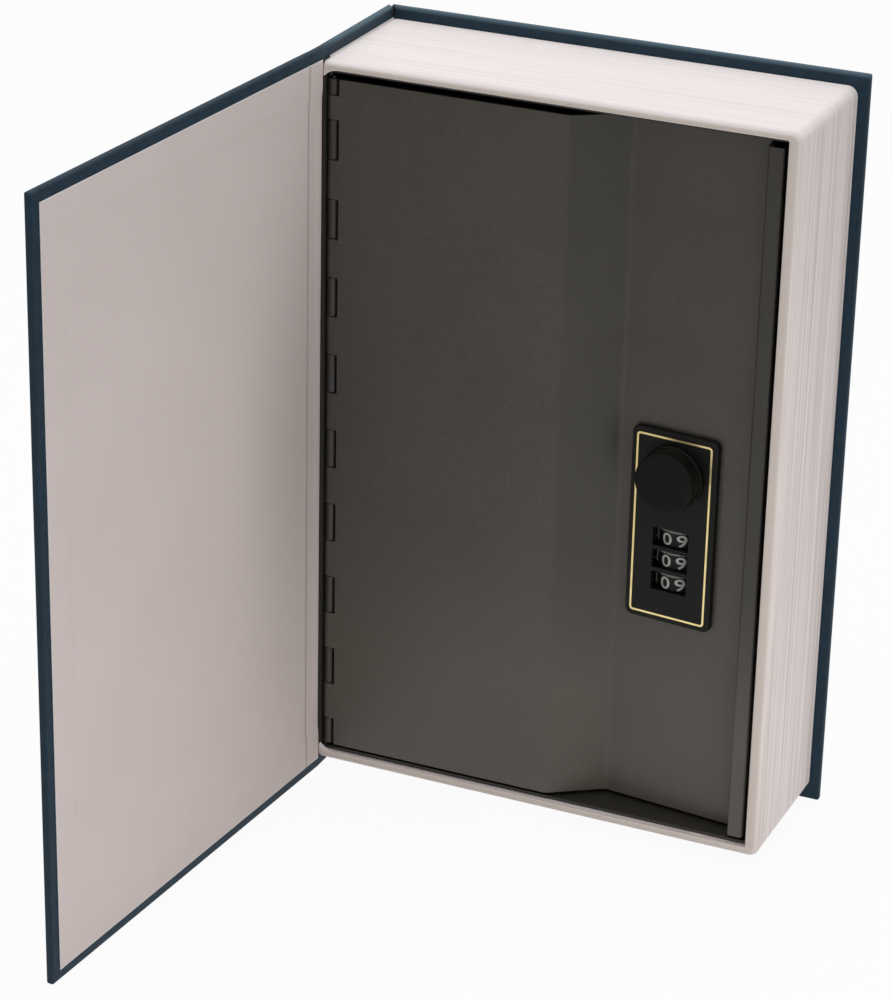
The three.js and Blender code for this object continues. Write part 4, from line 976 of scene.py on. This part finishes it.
# Lock faceplate
# A moulded black plate with a window for each number wheel, held by two screws from behind the panel. A thin
# gold line is set into its face.
PLATE_EDGE = 0.15 * mm
GOLD_LEFT = -12.7 * mm
GOLD_RIGHT = 12.4 * mm
GOLD_HEIGHT = 59 * mm
GOLD_LINE = 0.62 * mm
GOLD_SUNK = 0.02 * mm
GOLD_PROUD = 0.06 * mm
GOLD_CORNER = 1.2 * mm
KNOB_HEIGHT = 17.5 * mm
PLATE_FACE = -2.2 * mm
BLACK_TONE = (0.0062, 0.006, 0.0054, 1)
BLACK_SHADE = (0.0042, 0.004, 0.0037, 1)
RIM_GLINT_TONE = (0.2, 0.2, 0.19, 1)
GOLD_TONE = (0.97, 0.80, 0.40, 1)
GOLD_SHADE = (0.84, 0.66, 0.30, 1)

into_door = -Vector(joints["knob_turn"]["axis"])
along_panel = into_door.cross(Vector((0, 0, 1)))
lock_place = Vector(joints["knob_turn"]["pos_m"]) - Vector((0, 0, KNOB_HEIGHT))
lock_frame = Matrix((
    (along_panel.x, into_door.x, 0, lock_place.x),
    (along_panel.y, into_door.y, 0, lock_place.y),
    (0, 0, 1, lock_place.z),
    (0, 0, 0, 1),
))

# Black moulded plastic, with a painted highlight where a mesh marks it: the lower edge of each wheel's rim.
black_material = grained(
    "black_plastic", (BLACK_TONE, BLACK_SHADE), (2200, 60), gloss=(0.4, 0.52), relief=(0.03 * mm, 0.5),
    Roughness=0.45, Specular_IOR_Level=0.2,
)
nodes, links, base, tone = reopen(black_material)
links.new(mix_colors(nodes, links, painted(nodes, "wear_and_glint"), tone, RIM_GLINT_TONE), base)
finished_copy("lock_faceplate", "lock_plate", "door", PLATE_EDGE, black_material)

bm = bmesh.new()
gold_low = Vector((GOLD_LEFT, PLATE_FACE + GOLD_SUNK, -GOLD_HEIGHT / 2))
gold_high = Vector((GOLD_RIGHT, PLATE_FACE + GOLD_SUNK, GOLD_HEIGHT / 2))
outer_line = rounded_loop(bm, gold_low, gold_high, (GOLD_CORNER,) * 4, 6)
inset = Vector((GOLD_LINE, 0, GOLD_LINE))
inner_line = rounded_loop(bm, gold_low + inset, gold_high - inset, (GOLD_CORNER - GOLD_LINE,) * 4, 6)
bmesh.ops.bridge_loops(bm, edges=outer_line + inner_line)
raise_faces(bm, bm.faces[:], (0, -GOLD_PROUD, 0))
bmesh.ops.transform(bm, matrix=lock_frame, verts=bm.verts)
gold_line = keep(bm, "gold_line")
gold_line.data.materials.append(
    grained("gold_foil", (GOLD_TONE, GOLD_SHADE), (2400, 320), gloss=(0.22, 0.4), Roughness=0.3, Metallic=1)
)
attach(gold_line, "door")

# Number wheels
# Three moulded wheels on one shaft. Each has a drum with ten painted digits, and above them a rim with a notch
# for each digit, where the detent spring clicks.
WHEEL_RADIUS = 8 * mm
DRUM_RADIUS = 7.8 * mm
WHEEL_BORE = 4.55 * mm
WHEEL_HALF = 3 * mm
RIM_HEIGHT = 1.2 * mm
WHEEL_EDGE = 0.15 * mm
DRUM_FILLET = 0.04 * mm
RIM_EDGE = 0.3 * mm
NOTCH_DEPTH = 0.45 * mm
NOTCH_HALF = math.radians(5)
WHEEL_STEPS = 120
DIGIT_HEIGHT = 3.9 * mm
DIGIT_WIDTH = 3.3 * mm
DIGIT_BOLD = 0.008
DIGIT_DEPTH = 0.02
ONE_WIDTH = 1.5 * mm
DIGIT_PROUD = 0.05 * mm
DIGIT_SUNK = 0.01 * mm
DIGIT_CUTS = 0.4 * mm
DIGIT_DROP = 0.6 * mm
DIGITS = 10
DIGIT_TURN = 2 * math.pi / DIGITS
ZERO_ALONG = -1.7 * mm
DIGIT_TONE = (0.54, 0.54, 0.51, 1)
DIGIT_SHADE = (0.38, 0.38, 0.36, 1)


def turned_ring(bm, profile, axis, steps):
    """Turns a closed outline of (radius, place along the axis) pairs about the Y or Z axis."""
    points = [Vector((r, 0, t)) if axis.z else Vector((r, t, 0)) for r, t in profile]
    verts = [bm.verts.new(point) for point in points]
    pairs = [(verts[i - 1], verts[i]) for i in range(len(verts)) if profile[i - 1][0] or profile[i][0]]
    edges = [bm.edges.new(pair) for pair in pairs]
    bmesh.ops.spin(
        bm, geom=verts + edges, cent=(0, 0, 0), axis=axis, angle=2 * math.pi, steps=steps, use_merge=True
    )
    bmesh.ops.remove_doubles(bm, verts=bm.verts, dist=1e-7)
    bmesh.ops.recalc_face_normals(bm, faces=bm.faces)


digit_material = grained("digit_paint", (DIGIT_TONE, DIGIT_SHADE), (2600, 700), Roughness=0.6)
wheel_profile = [
    (WHEEL_BORE, -WHEEL_HALF),
    (DRUM_RADIUS - WHEEL_EDGE, -WHEEL_HALF),
    (DRUM_RADIUS, -WHEEL_HALF + WHEEL_EDGE),
    (DRUM_RADIUS, WHEEL_HALF - RIM_HEIGHT - WHEEL_EDGE),
    (DRUM_RADIUS + DRUM_FILLET, WHEEL_HALF - RIM_HEIGHT),
    (WHEEL_RADIUS - RIM_EDGE / 3, WHEEL_HALF - RIM_HEIGHT),
    (WHEEL_RADIUS, WHEEL_HALF - RIM_HEIGHT + RIM_EDGE),
    (WHEEL_RADIUS, WHEEL_HALF - WHEEL_EDGE),
    (WHEEL_RADIUS - WHEEL_EDGE, WHEEL_HALF),
    (WHEEL_BORE, WHEEL_HALF),
]
facing_out = math.atan2(-into_door.y, -into_door.x)
for number in (1, 2, 3):
    body = f"wheel_{number}"
    centre = Vector(joints[f"{body}_turn"]["pos_m"])
    bm = bmesh.new()
    turned_ring(bm, wheel_profile, Vector((0, 0, 1)), WHEEL_STEPS)
    # The lower edge of the rim is marked for a painted highlight.
    wear_and_glint = bm.verts.layers.float.new("wear_and_glint")
    for vert in bm.verts:
        above_drum = vert.co.z - WHEEL_HALF + RIM_HEIGHT
        vert[wear_and_glint] = 1 if -1e-6 < above_drum < RIM_EDGE + 1e-6 else 0
        radius = math.hypot(vert.co.x, vert.co.y)
        if radius < DRUM_RADIUS + NEAR:
            continue
        angle = math.atan2(vert.co.y, vert.co.x) - facing_out - ZERO_ALONG / WHEEL_RADIUS
        off = (angle / DIGIT_TURN + 0.5) % 1 - 0.5
        dip = max(0, 1 - abs(off * DIGIT_TURN) / NOTCH_HALF)
        scale = (radius - NOTCH_DEPTH * dip) / radius
        vert.co.x *= scale
        vert.co.y *= scale
    bmesh.ops.translate(bm, verts=bm.verts, vec=centre)
    wheel = keep(bm, f"number_drum_{number}")
    make_final(wheel, 35)
    wheel.data.materials.append(black_material)
    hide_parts(f"number_wheel_{number}")
    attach(wheel, body)

    digits = bmesh.new()
    for digit in range(DIGITS):
        curve = bpy.data.curves.new(f"digit_{digit}", "FONT")
        curve.body = str(digit)
        curve.extrude = DIGIT_DEPTH
        curve.offset = DIGIT_BOLD
        curve.resolution_u = 4
        text = bpy.data.objects.new(curve.name, curve)
        bpy.context.scene.collection.objects.link(text)
        mesh = shaped_mesh(text)
        bpy.data.objects.remove(text)
        glyph = bmesh.new()
        glyph.from_mesh(mesh)
        bpy.data.meshes.remove(mesh)
        bmesh.ops.remove_doubles(glyph, verts=glyph.verts, dist=1e-5)
        lows = [min(vert.co[axis] for vert in glyph.verts) for axis in range(3)]
        highs = [max(vert.co[axis] for vert in glyph.verts) for axis in range(3)]
        spans = [high - low for low, high in zip(lows, highs)]
        width = ONE_WIDTH if digit == 1 else DIGIT_WIDTH
        for vert in glyph.verts:
            vert.co = Vector((
                ((vert.co.x - lows[0]) / spans[0] - 0.5) * width,
                (vert.co.z - lows[2]) / spans[2] * DIGIT_PROUD,
                ((vert.co.y - lows[1]) / spans[1] - 0.5) * DIGIT_HEIGHT,
            ))
        for i in range(-3, 4):
            cut(glyph, (i * DIGIT_CUTS, 0, 0), (1, 0, 0))
        along = ZERO_ALONG - digit * DIGIT_TURN * DRUM_RADIUS
        for vert in glyph.verts:
            turn = (along + vert.co.x) / DRUM_RADIUS
            radius = DRUM_RADIUS - DIGIT_SUNK + vert.co.y
            place = along_panel * math.sin(turn) * radius - into_door * math.cos(turn) * radius
            vert.co = centre + place + Vector((0, 0, vert.co.z - DIGIT_DROP))
        bmesh.ops.recalc_face_normals(glyph, faces=glyph.faces)
        if glyph.calc_volume(signed=True) < 0:
            bmesh.ops.reverse_faces(glyph, faces=glyph.faces)
        mesh = bpy.data.meshes.new("glyph")
        glyph.to_mesh(mesh)
        glyph.free()
        digits.from_mesh(mesh)
        bpy.data.meshes.remove(mesh)
    digits = keep(digits, f"digits_{number}")
    digits.data.materials.append(digit_material)
    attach(digits, body)

# Code sleeves and shaft
# A moulded sleeve inside each wheel carries the notched disc that the gate bar reads. All turn on one plated steel
# shaft, which lies in the housing.
PLATED_TONE = (0.55, 0.55, 0.56, 1)
PLATED_SHADE = (0.42, 0.42, 0.43, 1)
SLEEVE_EDGE = 0.08 * mm
SHAFT_EDGE = 0.15 * mm

for number in (1, 2, 3):
    node, name, body = f"code_sleeve_{number}", f"sleeve_{number}", f"wheel_{number}"
    finished_copy(node, name, body, SLEEVE_EDGE, black_material)
plated_material = make_plating("plated_steel", PLATED_TONE, PLATED_SHADE, (0.22, 0.42))
finished_copy("wheel_shaft", "wheel_axle", "door", SHAFT_EDGE, plated_material)

# Knob
# A turned and black-coated knob: a plain round grip that tapers a little, on a skirt that lies close to the plate.
# It is pressed on the end of the spindle.
SKIRT_RADIUS = 10.1 * mm
SKIRT_HEIGHT = 1.6 * mm
GRIP_RADIUS = 9.7 * mm
GRIP_TAPER = 0.1 * mm
KNOB_BACK = -2.4 * mm
KNOB_LENGTH = 7 * mm
KNOB_ROUND = 0.7 * mm
KNOB_EDGE = 0.1 * mm
SKIRT_ROUND = 0.5 * mm
FACE_RING = 1.6 * mm
KNOB_BORE = 2.1 * mm
KNOB_BORE_END = -6 * mm
KNOB_STEPS = 128

knob_material = grained(
    "black_metal", (BLACK_TONE, BLACK_SHADE), (1500, 90), gloss=(0.36, 0.5), relief=(0.03 * mm, 0.5),
    Roughness=0.42, Specular_IOR_Level=0.12,
)


def arc_down(radius, top, size, turns):
    """Points of a rounded edge: from the side at this radius to the face that lies at top."""
    return [(radius - size * (1 - math.cos(turn)), top + size * (1 - math.sin(turn))) for turn in turns]


knob_face = KNOB_BACK - KNOB_LENGTH
skirt_top = KNOB_BACK - SKIRT_HEIGHT
grip_top = GRIP_RADIUS - GRIP_TAPER
profile = [(KNOB_BORE, KNOB_BORE_END), (KNOB_BORE, KNOB_BACK), (SKIRT_RADIUS - KNOB_EDGE, KNOB_BACK)]
profile += [(SKIRT_RADIUS, KNOB_BACK - 2 * KNOB_EDGE), (SKIRT_RADIUS, skirt_top + SKIRT_ROUND)]
profile += arc_down(SKIRT_RADIUS, skirt_top, SKIRT_ROUND, [i * math.pi / 8 for i in range(1, 5)])
profile += [(GRIP_RADIUS + KNOB_EDGE, skirt_top), (GRIP_RADIUS, skirt_top - KNOB_EDGE)]
profile += arc_down(grip_top, knob_face, KNOB_ROUND, [i * math.pi / 10 for i in range(6)])
profile += [(grip_top - FACE_RING, knob_face), (0, knob_face), (0, KNOB_BORE_END)]
bm = bmesh.new()
turned_ring(bm, profile, Vector((0, 1, 0)), KNOB_STEPS)
bmesh.ops.translate(bm, verts=bm.verts, vec=(0, 0, KNOB_HEIGHT))
bmesh.ops.transform(bm, matrix=lock_frame, verts=bm.verts)
knob = keep(bm, "lock_knob")
make_final(knob, 40)
knob.data.materials.append(knob_material)
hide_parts("knob")
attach(knob, "knob")

# Lock works
# Behind the panel a moulded housing holds the shaft, the gate bar and the springs. The spindle comes out of its
# back and carries the latch cam under a washer and a nut. Two screws hold it to the faceplate.
HOUSING_EDGE = 0.25 * mm

finished_copy("lock_housing", "housing_shell", "door", HOUSING_EDGE, black_material)
# Each part's node, its name here, its body, and the rounding of its edges in mm.
works = [
    ("gate_bar", "gate_strip", "gate_bar", 0.1),
    ("gate_bar_spring", "gate_leaf", "door", 0.08),
    ("detent_spring", "detent_leaf", "door", 0.08),
    ("reset_lever", "reset_tab", "reset_lever", 0.2),
    ("knob_spindle", "spindle_rod", "knob", 0.12),
    ("latch_cam", "cam_plate", "knob", 0.2),
    ("cam_washer", "washer_ring", "knob", 0.08),
    ("cam_nut", "nut_hex", "knob", 0.25),
    ("faceplate_screw_upper", "upper_screw", "door", 0.1),
    ("faceplate_screw_lower", "lower_screw", "door", 0.1),
]
for node, name, body, edge in works:
    finished_copy(node, name, body, edge * mm, plated_material)

# Catch
# A bent steel angle is welded inside the wall of the box at the fore-edge, and coated with it. The thrown cam
# turns behind it.
CATCH_EDGE = 0.15 * mm

# The catch takes the box's darker coat, painted shade inside the box.
finished_copy("catch_bracket", "catch_angle", "case", CATCH_EDGE, shaded_box_material)
